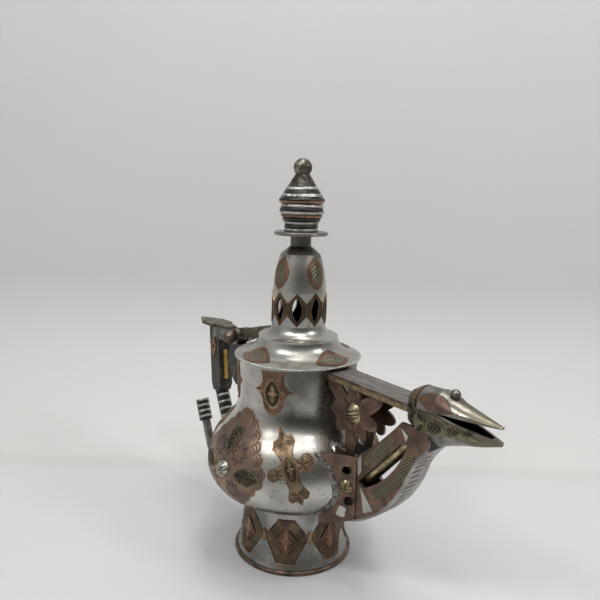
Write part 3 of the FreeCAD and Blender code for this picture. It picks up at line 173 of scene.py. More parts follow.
def fade_in(tree, value, start, rate):
    """0 up to the start, then rising to 1 at a rate per metre."""
    return math_node(tree, "MULTIPLY", math_node(tree, "SUBTRACT", value, start), rate, True)


def tint(finish, mask, colour):
    """Lays a colour over a finish where the mask is 1."""
    tree = finish.node_tree
    base = tree.nodes["Principled BSDF"].inputs["Base Color"]
    join(tree, mix_node(tree, mask, base.links[0].from_socket, (*colour, 1.0)), base)


# Darker blots on the upper body towards the spout side, fading in along X and upward along Z.
dark_patch_x, dark_patch_x_rate, dark_patch_z, dark_patch_z_rate = 0.006, 42.0, 0.094, 50.0
blot_scale, blot_detail, blot_contrast, blot_limit = 38.0, 6.0, 2.6, 0.40
dark_patch_strength, dark_patch_colour = 0.92, (0.085, 0.078, 0.066)
tin = finish_of(
    "rubbed_tin", clean=(0.54, 0.52, 0.475), dull=(0.36, 0.345, 0.31), pit=(0.06, 0.055, 0.05),
    roughness=(0.21, 0.38), clouds=(34.0, 0.45))
tree = tin.node_tree
place, spot = place_of(tree)
spout_side = math_node(tree, "MULTIPLY", fade_in(tree, spot["X"], dark_patch_x, dark_patch_x_rate),
                       fade_in(tree, spot["Z"], dark_patch_z, dark_patch_z_rate))
blots = math_node(tree, "MULTIPLY", noise_node(tree, place, blot_scale, blot_detail), blot_contrast)
blots = math_node(tree, "SUBTRACT", blots, blot_limit, True)
dark_patch = math_node(tree, "MULTIPLY", math_node(tree, "MULTIPLY", spout_side, blots), dark_patch_strength)
tint(tin, dark_patch, dark_patch_colour)
dress(tin, "body_shell")
foot_tin = finish_of(
    "foot_tin", clean=(0.40, 0.39, 0.365), dull=(0.24, 0.23, 0.21), pit=(0.05, 0.045, 0.04),
    roughness=(0.2, 0.4), clouds=(46.0, 0.5), pits=0.22)
dress(foot_tin, "foot_ring")


# Foot rim: a rolled copper edge, browned by the table and by handling, on which the pot stands.
# It wraps the lower edge of the foot ring.
brown = finish_of(
    "browned_copper", clean=(0.22, 0.15, 0.115), dull=(0.10, 0.08, 0.065), pit=(0.03, 0.02, 0.02),
    roughness=(0.34, 0.55), clouds=(120.0, 0.5))
dress(brown, "foot_rim")


# Foot band: cast brass hexagons, soldered side by side, with rows of punched beads between fine ridges.
# A copper diamond with an engraved star sits on each, and a small brass lens covers each joint.
MM = 0.001


def arc_through(start, via, end, count):
    (ax, ay), (bx, by), (cx, cy) = start, via, end
    span = 2 * (ax * (by - cy) + bx * (cy - ay) + cx * (ay - by))
    sa, sb, sc = ax * ax + ay * ay, bx * bx + by * by, cx * cx + cy * cy
    ox = (sa * (by - cy) + sb * (cy - ay) + sc * (ay - by)) / span
    oy = (sa * (cx - bx) + sb * (ax - cx) + sc * (bx - ax)) / span
    first = math.atan2(ay - oy, ax - ox)
    to_via = (math.atan2(by - oy, bx - ox) - first) % math.tau
    to_end = (math.atan2(cy - oy, cx - ox) - first) % math.tau
    if to_via > to_end:
        to_end -= math.tau
    radius = math.hypot(ax - ox, ay - oy)
    turns = first + to_end * np.linspace(0, 1, count)
    return np.stack([ox + radius * np.cos(turns), oy + radius * np.sin(turns)], 1)


def run_along(points):
    return np.concatenate([[0], np.cumsum(np.linalg.norm(np.diff(points, axis=0), axis=1))])


def outline(corners, count):
    """A closed rim of evenly spaced points; an arc reaches a corner of four numbers via its last two."""
    arc_points = 24
    points = []
    for index, corner in enumerate(corners):
        target = corners[(index + 1) % len(corners)]
        if len(target) == 4:
            points.extend(arc_through(corner[:2], target[2:], target[:2], arc_points)[:-1])
        else:
            points.append(np.array(corner[:2], float))
    points = np.array(points + [points[0]])
    run = run_along(points)
    wanted = np.linspace(0, run[-1], count, endpoint=False)
    rim = np.stack([np.interp(wanted, run, points[:, axis]) for axis in (0, 1)], 1)
    area = np.sum(rim[:, 0] * np.roll(rim[:, 1], -1) - rim[:, 1] * np.roll(rim[:, 0], -1))
    return rim if area > 0 else rim[::-1]


def lens(width, height, count):
    return outline([(0, -height / 2, -width / 2, 0), (0, height / 2, width / 2, 0)], count)


def surface_of(*names):
    points, faces = [], []
    for name in names:
        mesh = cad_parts[name].data
        start = len(points)
        points += [vertex.co.copy() for vertex in mesh.vertices]
        faces += [[start + index for index in polygon.vertices] for polygon in mesh.polygons]
    return BVHTree.FromPolygons(points, faces)


def out_and_side(angle):
    turn = math.radians(angle)
    return Vector((math.cos(turn), math.sin(turn), 0)), Vector((-math.sin(turn), math.cos(turn), 0))


def on_wall(surface, angle, height, tilt=0.0):
    """Lays a flat plaque on the outer wall at one angle round the axis and one height."""
    out, side = out_and_side(angle)
    outside = out * 0.2
    lean = math.radians(tilt)

    def lay(flat, proud):
        placed = []
        for (u, v), rise in zip(flat, proud):
            across = u * math.cos(lean) - v * math.sin(lean)
            up = u * math.sin(lean) + v * math.cos(lean)
            start = outside + side * (across * MM) + Vector((0, 0, (height + up) * MM))
            hit = surface.ray_cast(start, -out)[0]
            placed.append(hit + out * (rise * MM))
        return np.array(placed)

    return lay


def new_stock():
    return {"points": [], "faces": [], "line": [], "inlay": []}


def add_loft(stock, rings, line=None, inlay=None, closed=False):
    """Skins a row of rings, in metres; an open row is capped at both ends."""
    start = len(stock["points"])
    count = len(rings[0])
    for ring in rings:
        stock["points"].extend(map(tuple, ring))
    total = len(rings) * count
    stock["line"].extend(np.zeros(total) if line is None else np.concatenate(line))
    stock["inlay"].extend(np.zeros(total) if inlay is None else np.concatenate(inlay))
    for row in range(len(rings) if closed else len(rings) - 1):
        here = start + row * count
        there = start + (row + 1) % len(rings) * count
        for index in range(count):
            after = (index + 1) % count
            stock["faces"].append((here + index, there + index, there + after, here + after))
    if not closed:
        for first, ring in ((start, rings[0]), (start + total - count, rings[-1])):
            stock["points"].append(tuple(np.mean(ring, axis=0)))
            stock["line"].append(stock["line"][first])
            stock["inlay"].append(stock["inlay"][first])
            middle = len(stock["points"]) - 1
            for index in range(count):
                stock["faces"].append((middle, first + index, first + (index + 1) % count))


def add_plaque(stock, rim, shape, lay, rings, hollow=None, back=-0.25):
    """A plaque from its middle, or from the edge of a hollow, out to its rim, with a wall and a back.

    shape takes u and v in mm, the share of the way to the rim and the turn round it, and gives
    the height over the wall in mm, the grime in its lines and the inlay."""
    inner = np.zeros_like(rim) if hollow is None else hollow
    count = len(rim)
    turn = np.arange(count) / count
    shares = np.linspace(0, 1, rings + 1)
    back_shares = (1.0, 0.0)
    if hollow is None:
        shares = shares[1:]
        back_shares = (1.0, 0.6, 0.25)
    skins, marks, inlays = [], [], []
    for share in shares:
        flat = inner + (rim - inner) * share
        proud, mark, inlay = shape(flat[:, 0], flat[:, 1], share, turn)
        skins.append(lay(flat, np.broadcast_to(proud, count)))
        marks.append(np.array(np.broadcast_to(mark, count), float))
        inlays.append(np.array(np.broadcast_to(inlay, count), float))
    for share in back_shares:
        skins.append(lay(inner + (rim - inner) * share, np.full(count, back)))
        marks.append(np.zeros(count))
        inlays.append(np.zeros(count))
    add_loft(stock, skins, marks, inlays, closed=hollow is not None)


def make_piece(name, stock, finish, slot, body, *nodes):
    crease = math.radians(50)
    mesh = bpy.data.meshes.new(name)
    mesh.from_pydata(stock["points"], [], stock["faces"])
    for mark in ("line", "inlay"):
        marked = mesh.attributes.new(mark, "FLOAT", "POINT")
        marked.data.foreach_set("value", np.array(stock[mark], np.float32))
    shell = bmesh.new()
    shell.from_mesh(mesh)
    bmesh.ops.recalc_face_normals(shell, faces=shell.faces)
    shell.to_mesh(mesh)
    shell.free()
    mesh.shade_smooth()
    mesh.set_sharp_from_angle(angle=crease)
    mesh.materials.append(finish)
    piece = bpy.data.objects.new(name, mesh)
    bpy.context.scene.collection.objects.link(piece)
    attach(piece, body)
    if nodes:
        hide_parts(*nodes)
    return piece


def ridge(value, middle, width):
    return np.exp(-((value - middle) / width) ** 2)


def petals(u, v, count, length, width, turn=90.0):
    """1 inside a star of pointed petals, 0 outside, soft at the edge."""
    soft_edge, fullness = 0.3, 0.8
    best = np.zeros_like(u)
    for number in range(count):
        way = math.radians(turn + 360 * number / count)
        along = u * math.cos(way) + v * math.sin(way)
        across = np.abs(v * math.cos(way) - u * math.sin(way))
        room = width / 2 * np.sin(math.pi * np.clip(along / length, 0, 1) ** fullness)
        inside = np.clip((room - across) / soft_edge + 0.5, 0, 1) * (along > 0) * (along < length)
        best = np.maximum(best, inside)
    return best


def read_mark(tree, name):
    node = tree.nodes.new("ShaderNodeAttribute")
    node.attribute_name = name
    return node.outputs["Fac"]


# Black grime stays in the cut lines of engraved work, and a second metal shows where it is let in.
grime_colour, grime_share = (0.030, 0.024, 0.018), 0.86
engraved = bpy.data.node_groups.new("engraved_lines", "ShaderNodeTree")
add_sockets(engraved, "INPUT", ("Metal", "Inlay", "Grime"))
add_sockets(engraved, "OUTPUT", ("Color",))
given = engraved.nodes.new("NodeGroupInput").outputs
colour = mix_node(engraved, read_mark(engraved, "inlay"), given["Metal"], given["Inlay"])
filled = math_node(engraved, "MULTIPLY", read_mark(engraved, "line"), grime_share)
colour = mix_node(engraved, filled, colour, given["Grime"])
join(engraved, colour, engraved.nodes.new("NodeGroupOutput").inputs["Color"])


def engraved_finish(name, inlay, **look):
    finish = finish_of(name, **look)
    tree = finish.node_tree
    base = tree.nodes["Principled BSDF"].inputs["Base Color"]
    cut = tree.nodes.new("ShaderNodeGroup")
    cut.node_tree = engraved
    join(tree, base.links[0].from_socket, cut.inputs["Metal"])
    cut.inputs["Inlay"].default_value = (*inlay, 1.0)
    cut.inputs["Grime"].default_value = (*grime_colour, 1.0)
    join(tree, cut.outputs["Color"], base)
    return finish


foot_brass = engraved_finish(
    "foot_brass", clean=(0.33, 0.225, 0.14), dull=(0.19, 0.135, 0.10), pit=(0.04, 0.03, 0.022),
    roughness=(0.28, 0.46), clouds=(120.0, 0.5), inlay=(0.42, 0.25, 0.18))
copper = engraved_finish(
    "old_copper", clean=(0.33, 0.188, 0.118), dull=(0.20, 0.122, 0.09), pit=(0.05, 0.032, 0.028),
    roughness=(0.26, 0.44), clouds=(110.0, 0.5), inlay=(0.30, 0.265, 0.19))
foot_surface = surface_of("foot_ring")
panel_count, first_panel = 7, -47
panel_middle, panel_flat, panel_half, panel_reach, tip_lift = 21.5, 6.2, 15.2, 15.7, 2.0
panel_border, bead_rows, beads_round = 0.955, (0.905, 0.80, 0.695, 0.59), 52
bead_width, ridge_step, ridge_width, ridge_mark_width = 0.034, 0.052, 0.012, 0.014
diamond_half_w, diamond_half_h = 8.2, 8.7


def panel_shape(u, v, share, turn):
    border = float(share > panel_border)
    proud, line = 0.25 + 0.45 * border, 1.0 - border
    for number, row in enumerate(bead_rows):
        beads = 0.5 + 0.5 * np.cos(math.tau * beads_round * turn + math.pi * number)
        proud = proud + 0.45 * beads * ridge(share, row, bead_width)
        proud = proud + 0.22 * ridge(share, row - ridge_step, ridge_width)
        line = line - 1.1 * beads * ridge(share, row, bead_width)
        line = line - 0.7 * ridge(share, row - ridge_step, ridge_mark_width)
    return proud, np.clip(line, 0, 1), 0.0


def diamond_shape(u, v, share, turn):
    star = np.maximum(petals(u, v, 2, 7.2, 2.6), petals(u, v, 2, 5.4, 2.2, 0.0))
    star = np.maximum(star, petals(u, v, 4, 4.6, 1.7, 45.0))
    edge = float(share > 0.88) + 0.8 * float(0.72 < share < 0.79)
    return 0.66 + 0.30 * np.maximum(star, min(edge, 1.0)), np.clip(1 - star - edge, 0, 1) * 0.85, 0.0


def boss_lens_shape(u, v, share, turn):
    return 0.55 + 0.45 * math.cos(share * math.pi / 2), ridge(share, 0.74, 0.09), 0.0


hexagon = outline([
    (-panel_flat, -panel_half), (panel_flat, -panel_half), (panel_reach, tip_lift),
    (panel_flat, panel_half), (-panel_flat, panel_half), (-panel_reach, tip_lift)], 348)
diamond = outline([(0, -diamond_half_h), (diamond_half_w, 0), (0, diamond_half_h), (-diamond_half_w, 0)], 120)
link = lens(3.4, 9.6, 40)
panels, diamonds, links = new_stock(), new_stock(), new_stock()
for number in range(panel_count):
    angle = first_panel + 360 / panel_count * number
    lay = on_wall(foot_surface, angle, panel_middle)
    joint_lay = on_wall(foot_surface, angle + 180 / panel_count, panel_middle + tip_lift)
    add_plaque(panels, hexagon, panel_shape, lay, rings=44)
    add_plaque(diamonds, diamond, diamond_shape, lay, rings=22, back=0.1)
    add_plaque(links, link, boss_lens_shape, joint_lay, rings=10)
make_piece("foot_band", panels, foot_brass, "old_brass", "pot", "foot_panels")
make_piece("foot_stars", diamonds, copper, "copper", "pot", "foot_diamonds")
make_piece("foot_joint_lenses", links, foot_brass, "old_brass", "pot", "foot_links")


# Neck pendants: cut copper leaves with engraved double outlines, soldered under the mouth.
# Each carries a brass lens with a raised edge and a four-petal star on a dark ground.
vessel_surface = surface_of("body_shell")
old_brass = engraved_finish(
    "old_brass", clean=(0.33, 0.25, 0.145), dull=(0.20, 0.15, 0.095), pit=(0.04, 0.03, 0.022),
    roughness=(0.28, 0.46), clouds=(260.0, 0.5), inlay=(0.42, 0.25, 0.18))
pendant_angles, pendant_middle = (-124, -62, 62, 124), 127.3
pendant_half_w, pendant_half_h = 14.7, 15.0
pendant_sizes = (pendant_half_w, pendant_half_h, pendant_half_w, pendant_half_h)
pendant_corners = (
    (-0.62, 1), (-1, 0.1, -0.55, 0.5), (-0.5, -0.4, -0.62, -0.1), (0, -1, -0.36, -0.78),
    (0.5, -0.4, 0.36, -0.78), (1, 0.1, 0.62, -0.1), (0.62, 1, 0.55, 0.5))
pendant = outline([tuple(share * size for share, size in zip(corner, pendant_sizes))
                   for corner in pendant_corners], 160)


def pendant_shape(u, v, share, turn):
    grooves = ridge(share, 0.93, 0.018) + ridge(share, 0.84, 0.018) + ridge(share, 0.75, 0.018)
    return 0.7 - 0.25 * grooves, np.clip(grooves, 0, 1) * 0.9, 0.0


def star_lens_shape(u, v, share, turn):
    star = np.maximum(petals(u, v, 2, 6.6, 3.0), petals(u, v, 2, 3.6, 2.6, 0.0))
    edge = float(share > 0.86)
    return 0.85 + 0.4 * np.maximum(star, edge), np.clip(1 - star - edge, 0, 1), 0.0


pendant_lens = lens(12.0, 21.0, 96)
pendants, pendant_lenses = new_stock(), new_stock()
for angle in pendant_angles:
    lay = on_wall(vessel_surface, angle, pendant_middle)
    add_plaque(pendants, pendant, pendant_shape, lay, rings=44)
    add_plaque(pendant_lenses, pendant_lens, star_lens_shape, lay, rings=30, back=0.4)
make_piece("pendant_leaves", pendants, copper, "copper", "pot", "neck_pendants")
make_piece("pendant_stars", pendant_lenses, old_brass, "old_brass", "pot", "pendant_lenses")


# Side medallions: wide scalloped copper plaques hammered to the belly's curve and engraved.
# Three dark brass lenses and a petalled silver boss are riveted on each.
medallion_middle, medallion_width, medallion_top, medallion_bottom = 75.0, 64.0, 37.0, 27.0
lobe_count, lobe_depth, roundness = 24, 4.6, 1.3
lens_places = ((90, 21.0, 0), (70.5, 0.0, 90), (109.5, 0.0, 90))
boss_radius, boss_height = 5.4, 4.4


def scalloped():
    ring = []
    for number in range(lobe_count):
        turn = math.tau * number / lobe_count
        reach = (abs(math.sin(turn)) ** roundness + abs(math.cos(turn)) ** roundness) ** (-1 / roundness)
        tall = medallion_top if math.cos(turn) > 0 else medallion_bottom
        ring.append((medallion_width / 2 * reach * math.sin(turn), tall * reach * math.cos(turn)))
    corners = []
    for number in range(lobe_count):
        (ax, ay), (bx, by) = ring[number - 1], ring[number]
        mid_x, mid_y = (ax + bx) / 2, (ay + by) / 2
        out = 1 + lobe_depth / 2 / math.hypot(mid_x, mid_y)
        corners.append((bx, by, mid_x * out, mid_y * out))
    return corners


def medallion_shape(u, v, share, turn):
    grooves = ridge(share, 0.955, 0.010) + ridge(share, 0.90, 0.010) + 0.7 * ridge(share, 0.84, 0.008)
    for middle in (12.0, -11.0):
        star = petals(np.abs(u) - 10.5, v - middle, 8, 5.6, 1.7)
        outer = petals(np.abs(u) - 10.5, v - middle, 8, 7.4, 3.6)
        grooves = grooves + np.clip(outer - star, 0, 1) * 0.8
    return 0.7 - 0.25 * np.clip(grooves, 0, 1), np.clip(grooves, 0, 1) * 0.8, 0.0


def veins(along, across, slope, pitch, groove):
    """1 on the slanting veins of a leaf, 0 in the grooves between them."""
    return np.clip((np.abs(((along + np.abs(across) * slope) / pitch) % 1.0 - 0.5) - groove) * 8, 0, 1)


def leaf_lens_shape(u, v, share, turn):
    edge = float(share > 0.84)
    leaf = veins(v, u, 0.8, 2.6, 0.22) * (np.abs(u) > 0.35)
    return 0.85 + 0.4 * np.maximum(leaf, edge), np.clip(1.0 - leaf * 0.8 - edge, 0, 1), 0.0


def petal_boss_shape(u, v, share, turn):
    folds = np.abs(np.cos(math.tau * 3 * turn)) ** 0.6
    dome = boss_height * math.sqrt(max(0.0, 1 - share ** 2))
    return 0.6 + dome * (0.82 + 0.18 * folds), (1 - folds) * 0.8 * (share > 0.2), 0.0


def lying_lens(length, width, count):
    return outline([(-length / 2, 0, 0, -width / 2), (length / 2, 0, 0, width / 2)], count)


def disc(radius, count):
    return lying_lens(2 * radius, 2 * radius, count)


dark_brass = engraved_finish(
    "dark_brass", clean=(0.26, 0.225, 0.14), dull=(0.14, 0.125, 0.085), pit=(0.02, 0.02, 0.015),
    roughness=(0.30, 0.5), clouds=(240.0, 0.55), inlay=(0.36, 0.31, 0.20))
silver = engraved_finish(
    "worn_silver", clean=(0.54, 0.52, 0.46), dull=(0.28, 0.26, 0.215), pit=(0.05, 0.04, 0.03),
    roughness=(0.20, 0.4), clouds=(160.0, 0.45), inlay=(0.40, 0.32, 0.20))
plum = engraved_finish(
    "plum_copper", clean=(0.30, 0.20, 0.135), dull=(0.20, 0.145, 0.125), pit=(0.045, 0.03, 0.028),
    roughness=(0.26, 0.44), clouds=(70.0, 0.5), inlay=(0.30, 0.265, 0.19))
medallion = outline(scalloped(), 384)
side_lens = lens(11.6, 22.6, 96)
boss_rim = disc(boss_radius, 72)
medallions, side_lenses, side_bosses = new_stock(), new_stock(), new_stock()
for side in (-1, 1):
    middle_lay = on_wall(vessel_surface, 90 * side, medallion_middle)
    add_plaque(medallions, medallion, medallion_shape, middle_lay, rings=96)
    for angle, rise, lean in lens_places:
        lay = on_wall(vessel_surface, angle * side, medallion_middle + rise, lean)
        add_plaque(side_lenses, side_lens, leaf_lens_shape, lay, rings=28, back=0.4)
    add_plaque(side_bosses, boss_rim, petal_boss_shape, middle_lay, rings=18, back=0.4)
make_piece("medallion_plates", medallions, plum, "copper", "pot", "medallions")
make_piece("medallion_leaf_lenses", side_lenses, dark_brass, "old_brass", "pot", "medallion_lenses")
make_piece("medallion_petal_bosses", side_bosses, silver, "white_metal", "pot", "medallion_bosses")


# Cross plaques: gilt copper crosses with a fleur at the top, a trefoil below and a fan on one arm.
# A brass lens is let in at the crossing.
gilt = engraved_finish(
    "gilt_copper", clean=(0.31, 0.22, 0.135), dull=(0.20, 0.138, 0.092), pit=(0.05, 0.03, 0.02),
    roughness=(0.36, 0.55), clouds=(190.0, 0.5), inlay=(0.50, 0.40, 0.22))
cross_middle = 84.0
cross_places = ((-137.3, -21, -1), (-42.7, 21, 1), (42.7, -21, -1), (137.3, 21, 1))


def cross_corners(fan):
    """The cross with its fan to one side, or the same cross turned over."""
    corners = [
        (-4.7, 4.7), (-9.4, 3.3), (-9.4, -3.3, -15.6, 0), (-4.7, -4.7), (-4.3, -13.0), (-7.2, -17.4),
        (-5.6, -20.4), (-2.6, -20.0), (0, -24.5), (2.6, -20.0), (5.6, -20.4), (7.6, -17.4), (4.3, -13.0),
        (4.7, -4.7), (8.4, -2.6), (8.6, -4.8), (8.6, 4.8, 16.0, 0), (8.4, 2.6), (4.7, 4.7), (4.3, 11.4),
        (7.6, 13.8), (6.4, 17.2), (2.8, 18.2), (0, 24.5), (-2.8, 18.2), (-6.4, 17.2), (-8.2, 13.8),
        (-4.3, 11.4)]
    if fan > 0:
        return corners
    turned = [(-x, y) + ((-rest[0], rest[1]) if rest else ()) for x, y, *rest in corners]
    back = [turned[-1][:2]]
    for index in range(len(turned) - 1, 0, -1):
        back.append(turned[index - 1][:2] + tuple(turned[index][2:]))
    return back


def cross_shape(u, v, share, turn):
    grooves = ridge(share, 0.93, 0.020) + ridge(share, 0.83, 0.016)
    leaves = petals(u, v - 15.5, 3, 6.0, 2.2) + petals(u, v + 16.0, 3, 6.0, 2.4, -90.0)
    leaves = leaves + petals(np.abs(u) - 8.5, v, 5, 5.0, 1.5, 0.0)
    cut = np.clip(grooves + leaves * 0.75, 0, 1)
    return 0.7 - 0.25 * cut, cut * 0.85, 0.0


def framed_leaf_shape(u, v, share, turn):
    frame_edge = float(0.62 < share < 0.72) + float(share > 0.84)
    leaf = np.maximum(petals(u, v, 2, 5.0, 2.0), petals(u, v, 2, 2.2, 1.6, 0.0))
    return 0.85 + 0.4 * np.maximum(leaf, frame_edge), np.clip(1 - leaf - frame_edge, 0, 1), 0.0


cross_lens = lens(8.0, 18.0, 90)
crosses, cross_lenses = new_stock(), new_stock()
for angle, lean, fan in cross_places:
    lay = on_wall(vessel_surface, angle, cross_middle, lean)
    add_plaque(crosses, outline(cross_corners(fan), 300), cross_shape, lay, rings=50)
    add_plaque(cross_lenses, cross_lens, framed_leaf_shape, lay, rings=30, back=0.4)
make_piece("cross_plates", crosses, gilt, "copper", "pot", "cross_plaques")
make_piece("cross_leaf_lenses", cross_lenses, old_brass, "old_brass", "pot", "cross_lenses")


# Lid: one tinned shell from flange to stem, with painted shade (near black) inside the tower and tarnished at
# the stem, with a ring inside that centres it in the mouth. A beaded wire is soldered round the flange.
# Painted shade: the inside of the tower is painted near black so that its windows look dark.
inner_shade_radius, inner_shade_top, inner_shade_colour = 0.0184, 0.1935, (0.012, 0.011, 0.010)
tarnish_start, tarnish_rate, tarnish_strength, tarnish_colour = 0.2135, 130.0, 0.82, (0.075, 0.065, 0.052)
lid_tin = finish_of(
    "lid_tin", clean=(0.50, 0.485, 0.445), dull=(0.34, 0.33, 0.30), pit=(0.07, 0.06, 0.055),
    roughness=(0.23, 0.40), clouds=(40.0, 0.45))
tree = lid_tin.node_tree
spot = place_of(tree)[1]
from_axis = math_node(tree, "ADD", math_node(tree, "MULTIPLY", spot["X"], spot["X"]),
                      math_node(tree, "MULTIPLY", spot["Y"], spot["Y"]))
inner_shade = math_node(tree, "MULTIPLY", math_node(tree, "LESS_THAN", from_axis, inner_shade_radius ** 2),
                 math_node(tree, "LESS_THAN", spot["Z"], inner_shade_top))
tint(lid_tin, inner_shade, inner_shade_colour)
tarnish = fade_in(tree, spot["Z"], tarnish_start, tarnish_rate)
tint(lid_tin, math_node(tree, "MULTIPLY", tarnish, tarnish_strength), tarnish_colour)
dress(lid_tin, "lid_shell", "lid_collar")

beaded_tin = engraved_finish(
    "beaded_tin", clean=(0.60, 0.59, 0.56), dull=(0.40, 0.39, 0.365), pit=(0.08, 0.07, 0.06),
    roughness=(0.24, 0.42), clouds=(200.0, 0.4), inlay=(0.60, 0.59, 0.56))
wire_radius, wire_level, wire_thin, bead_swell = 45.0, 145.25, 0.52, 0.38
bead_count, steps_per_bead, wire_sides = 168, 8, 10
wire_steps = bead_count * steps_per_bead
bead_rings, bead_marks = [], []
for number in range(wire_steps):
    turn = math.tau * number / wire_steps
    bulge = abs(math.cos(turn * bead_count / 2))
    thick = wire_thin + bead_swell * bulge
    section = []
    for part in range(wire_sides):
        way = math.tau * part / wire_sides
        reach = wire_radius + thick * math.cos(way)
        section.append((reach * math.cos(turn), reach * math.sin(turn), wire_level + thick * math.sin(way)))
    bead_rings.append(np.array(section) * MM)
    bead_marks.append(np.full(wire_sides, max(0.0, 1.0 - 1.8 * bulge)))
beaded = new_stock()
add_loft(beaded, bead_rings, bead_marks, closed=True)
make_piece("flange_beading", beaded, beaded_tin, "white_metal", "lid", "lid_edge")


# Lid trim: brass lenses in copper frames on the flange and the tower, and punched brass collars
# round the tower's pointed windows. All are cut from sheet and soldered down.
lid_surface = surface_of("lid_shell")
flange_lens_radius, tower_lens_middle = 37.2, 205.3
tower_radius, window_middle, window_count, first_window = 19.2, 180.3, 9, -44


def on_flange(angle, radius):
    """Lays a plaque on the lid's flange and cove from above, with its height along the normal."""
    out, side = out_and_side(angle)
    above, down = Vector((0, 0, 0.19)), Vector((0, 0, -1))

    def lay(flat, proud):
        placed = []
        for (u, v), rise in zip(flat, proud):
            start = out * ((radius + v) * MM) + side * (u * MM) + above
            hit, normal, *rest = lid_surface.ray_cast(start, down)
            placed.append(hit + normal * (rise * MM))
        return np.array(placed)

    return lay


def on_tower(angle):
    turn = math.radians(angle)

    def lay(flat, proud):
        placed = []
        for (u, v), rise in zip(flat, proud):
            depth = math.sqrt((tower_radius + rise) ** 2 - u * u)
            placed.append((depth * math.cos(turn) - u * math.sin(turn),
                           depth * math.sin(turn) + u * math.cos(turn), window_middle + v))
        return np.array(placed) * MM

    return lay


def framed_lens_shape(u, v, share, turn):
    edge = float(share > 0.90) + float(0.66 < share < 0.72)
    leaf = veins(v, u, 0.8, 2.6, 0.2) * (share < 0.62)
    ground = float(share < 0.66)
    proud = 0.42 + 0.14 * min(edge, 1.0) + 0.12 * leaf
    line = np.clip(ground * (0.75 - 0.6 * leaf) + ridge(share, 0.745, 0.02), 0, 1)
    return proud, line, float(share < 0.72)


def collar_shape(u, v, share, turn):
    inner_edge, outer_edge = float(share < 0.10), float(share > 0.92)
    beads = 0.5 + 0.5 * np.cos(math.tau * 44 * turn)
    proud = 0.34 + 0.34 * inner_edge + 0.3 * outer_edge
    line = 1.0 - inner_edge - outer_edge
    for row in (0.28, 0.52, 0.76):
        proud = proud + 0.28 * beads * ridge(share, row, 0.07)
        line = line - 0.9 * beads * ridge(share, row, 0.07)
    return proud, np.clip(line, 0, 1), 0.0


tower_lens = lens(14.5, 22.5, 108)
flange_lens = lying_lens(30.0, 13.6, 120)
window_hole = lens(6.8, 17.6, 132)
window_rim = outline([(0, -11.9), (6.5, -4.76), (6.5, 4.76), (0, 11.9), (-6.5, 4.76), (-6.5, -4.76)], 132)
flange_lenses, tower_lenses, collars = new_stock(), new_stock(), new_stock()
for angle in (-90, 0, 90):
    add_plaque(flange_lenses, flange_lens, framed_lens_shape, on_flange(angle, flange_lens_radius), rings=30)
for angle in (-90, 0, 90, 180):
    lay = on_wall(lid_surface, angle, tower_lens_middle)
    add_plaque(tower_lenses, tower_lens, framed_lens_shape, lay, rings=26)
for number in range(window_count):
    lay = on_tower(first_window + 360 / window_count * number)
    add_plaque(collars, window_rim, collar_shape, lay, rings=16, hollow=window_hole, back=-0.1)
make_piece("flange_leaf_lenses", flange_lenses, copper, "copper", "lid", "lid_lenses")
make_piece("tower_leaf_lenses", tower_lenses, copper, "copper", "lid", "tower_lenses")
make_piece("window_collars", collars, foot_brass, "old_brass", "lid", "window_frames")


# Finial: horn, white-metal and copper rings threaded on a rod over a wide disc, closed by a cap and ball.
# The horn is polished black; the ball has lost most of its tin.
horn = finish_of(
    "black_horn", clean=(0.009, 0.008, 0.007), dull=(0.026, 0.020, 0.016), pit=(0.05, 0.04, 0.03),
    roughness=(0.30, 0.5), clouds=(240.0, 0.35), metallic=0.0)
white_rings = finish_of(
    "white_metal_rings", clean=(0.50, 0.49, 0.455), dull=(0.20, 0.188, 0.165), pit=(0.10, 0.08, 0.06),
    roughness=(0.36, 0.55), clouds=(260.0, 0.4))
dusky = finish_of(
    "dusky_metal", clean=(0.29, 0.265, 0.245), dull=(0.19, 0.17, 0.155), pit=(0.06, 0.05, 0.045),
    roughness=(0.26, 0.44), clouds=(90.0, 0.5))
cap_dark = finish_of(
    "darkened_cap", clean=(0.11, 0.095, 0.08), dull=(0.035, 0.03, 0.026), pit=(0.20, 0.18, 0.15),
    roughness=(0.28, 0.5), clouds=(300.0, 0.5), pits=0.3)
patchy = finish_of(
    "patchy_metal", clean=(0.30, 0.285, 0.235), dull=(0.11, 0.092, 0.07), pit=(0.03, 0.02, 0.02),
    roughness=(0.3, 0.55), clouds=(220.0, 0.55), pits=0.2)
dress(dusky, "finial_disc")
dress(cap_dark, "finial_cap", "finial_rod")
dress(patchy, "finial_ball")
stack_surface = surface_of("finial_rings", "finial_horn", "finial_copper")
stack_low, layer_height, ring_bore, ring_points = 234.2, 2.45, 2.7, 144
layer_order = "white horn white horn copper white horn white copper horn white horn white".split()
ring_section = ((0.0, None), (0.02, -0.45), (0.15, -0.05), (0.5, 0.12), (0.85, -0.05), (0.98, -0.45),
                (1.0, None))
wobble_sizes, wobble_counts, soft_wobble, ring_tilt = (0.22, 0.16, 0.12, 0.08), (3, 8, 13, 23), 0.6, 0.10
layers = {"white": new_stock(), "horn": new_stock(), "copper": new_stock()}
chance = np.random.default_rng(11)
turns = np.linspace(0, math.tau, ring_points, endpoint=False)
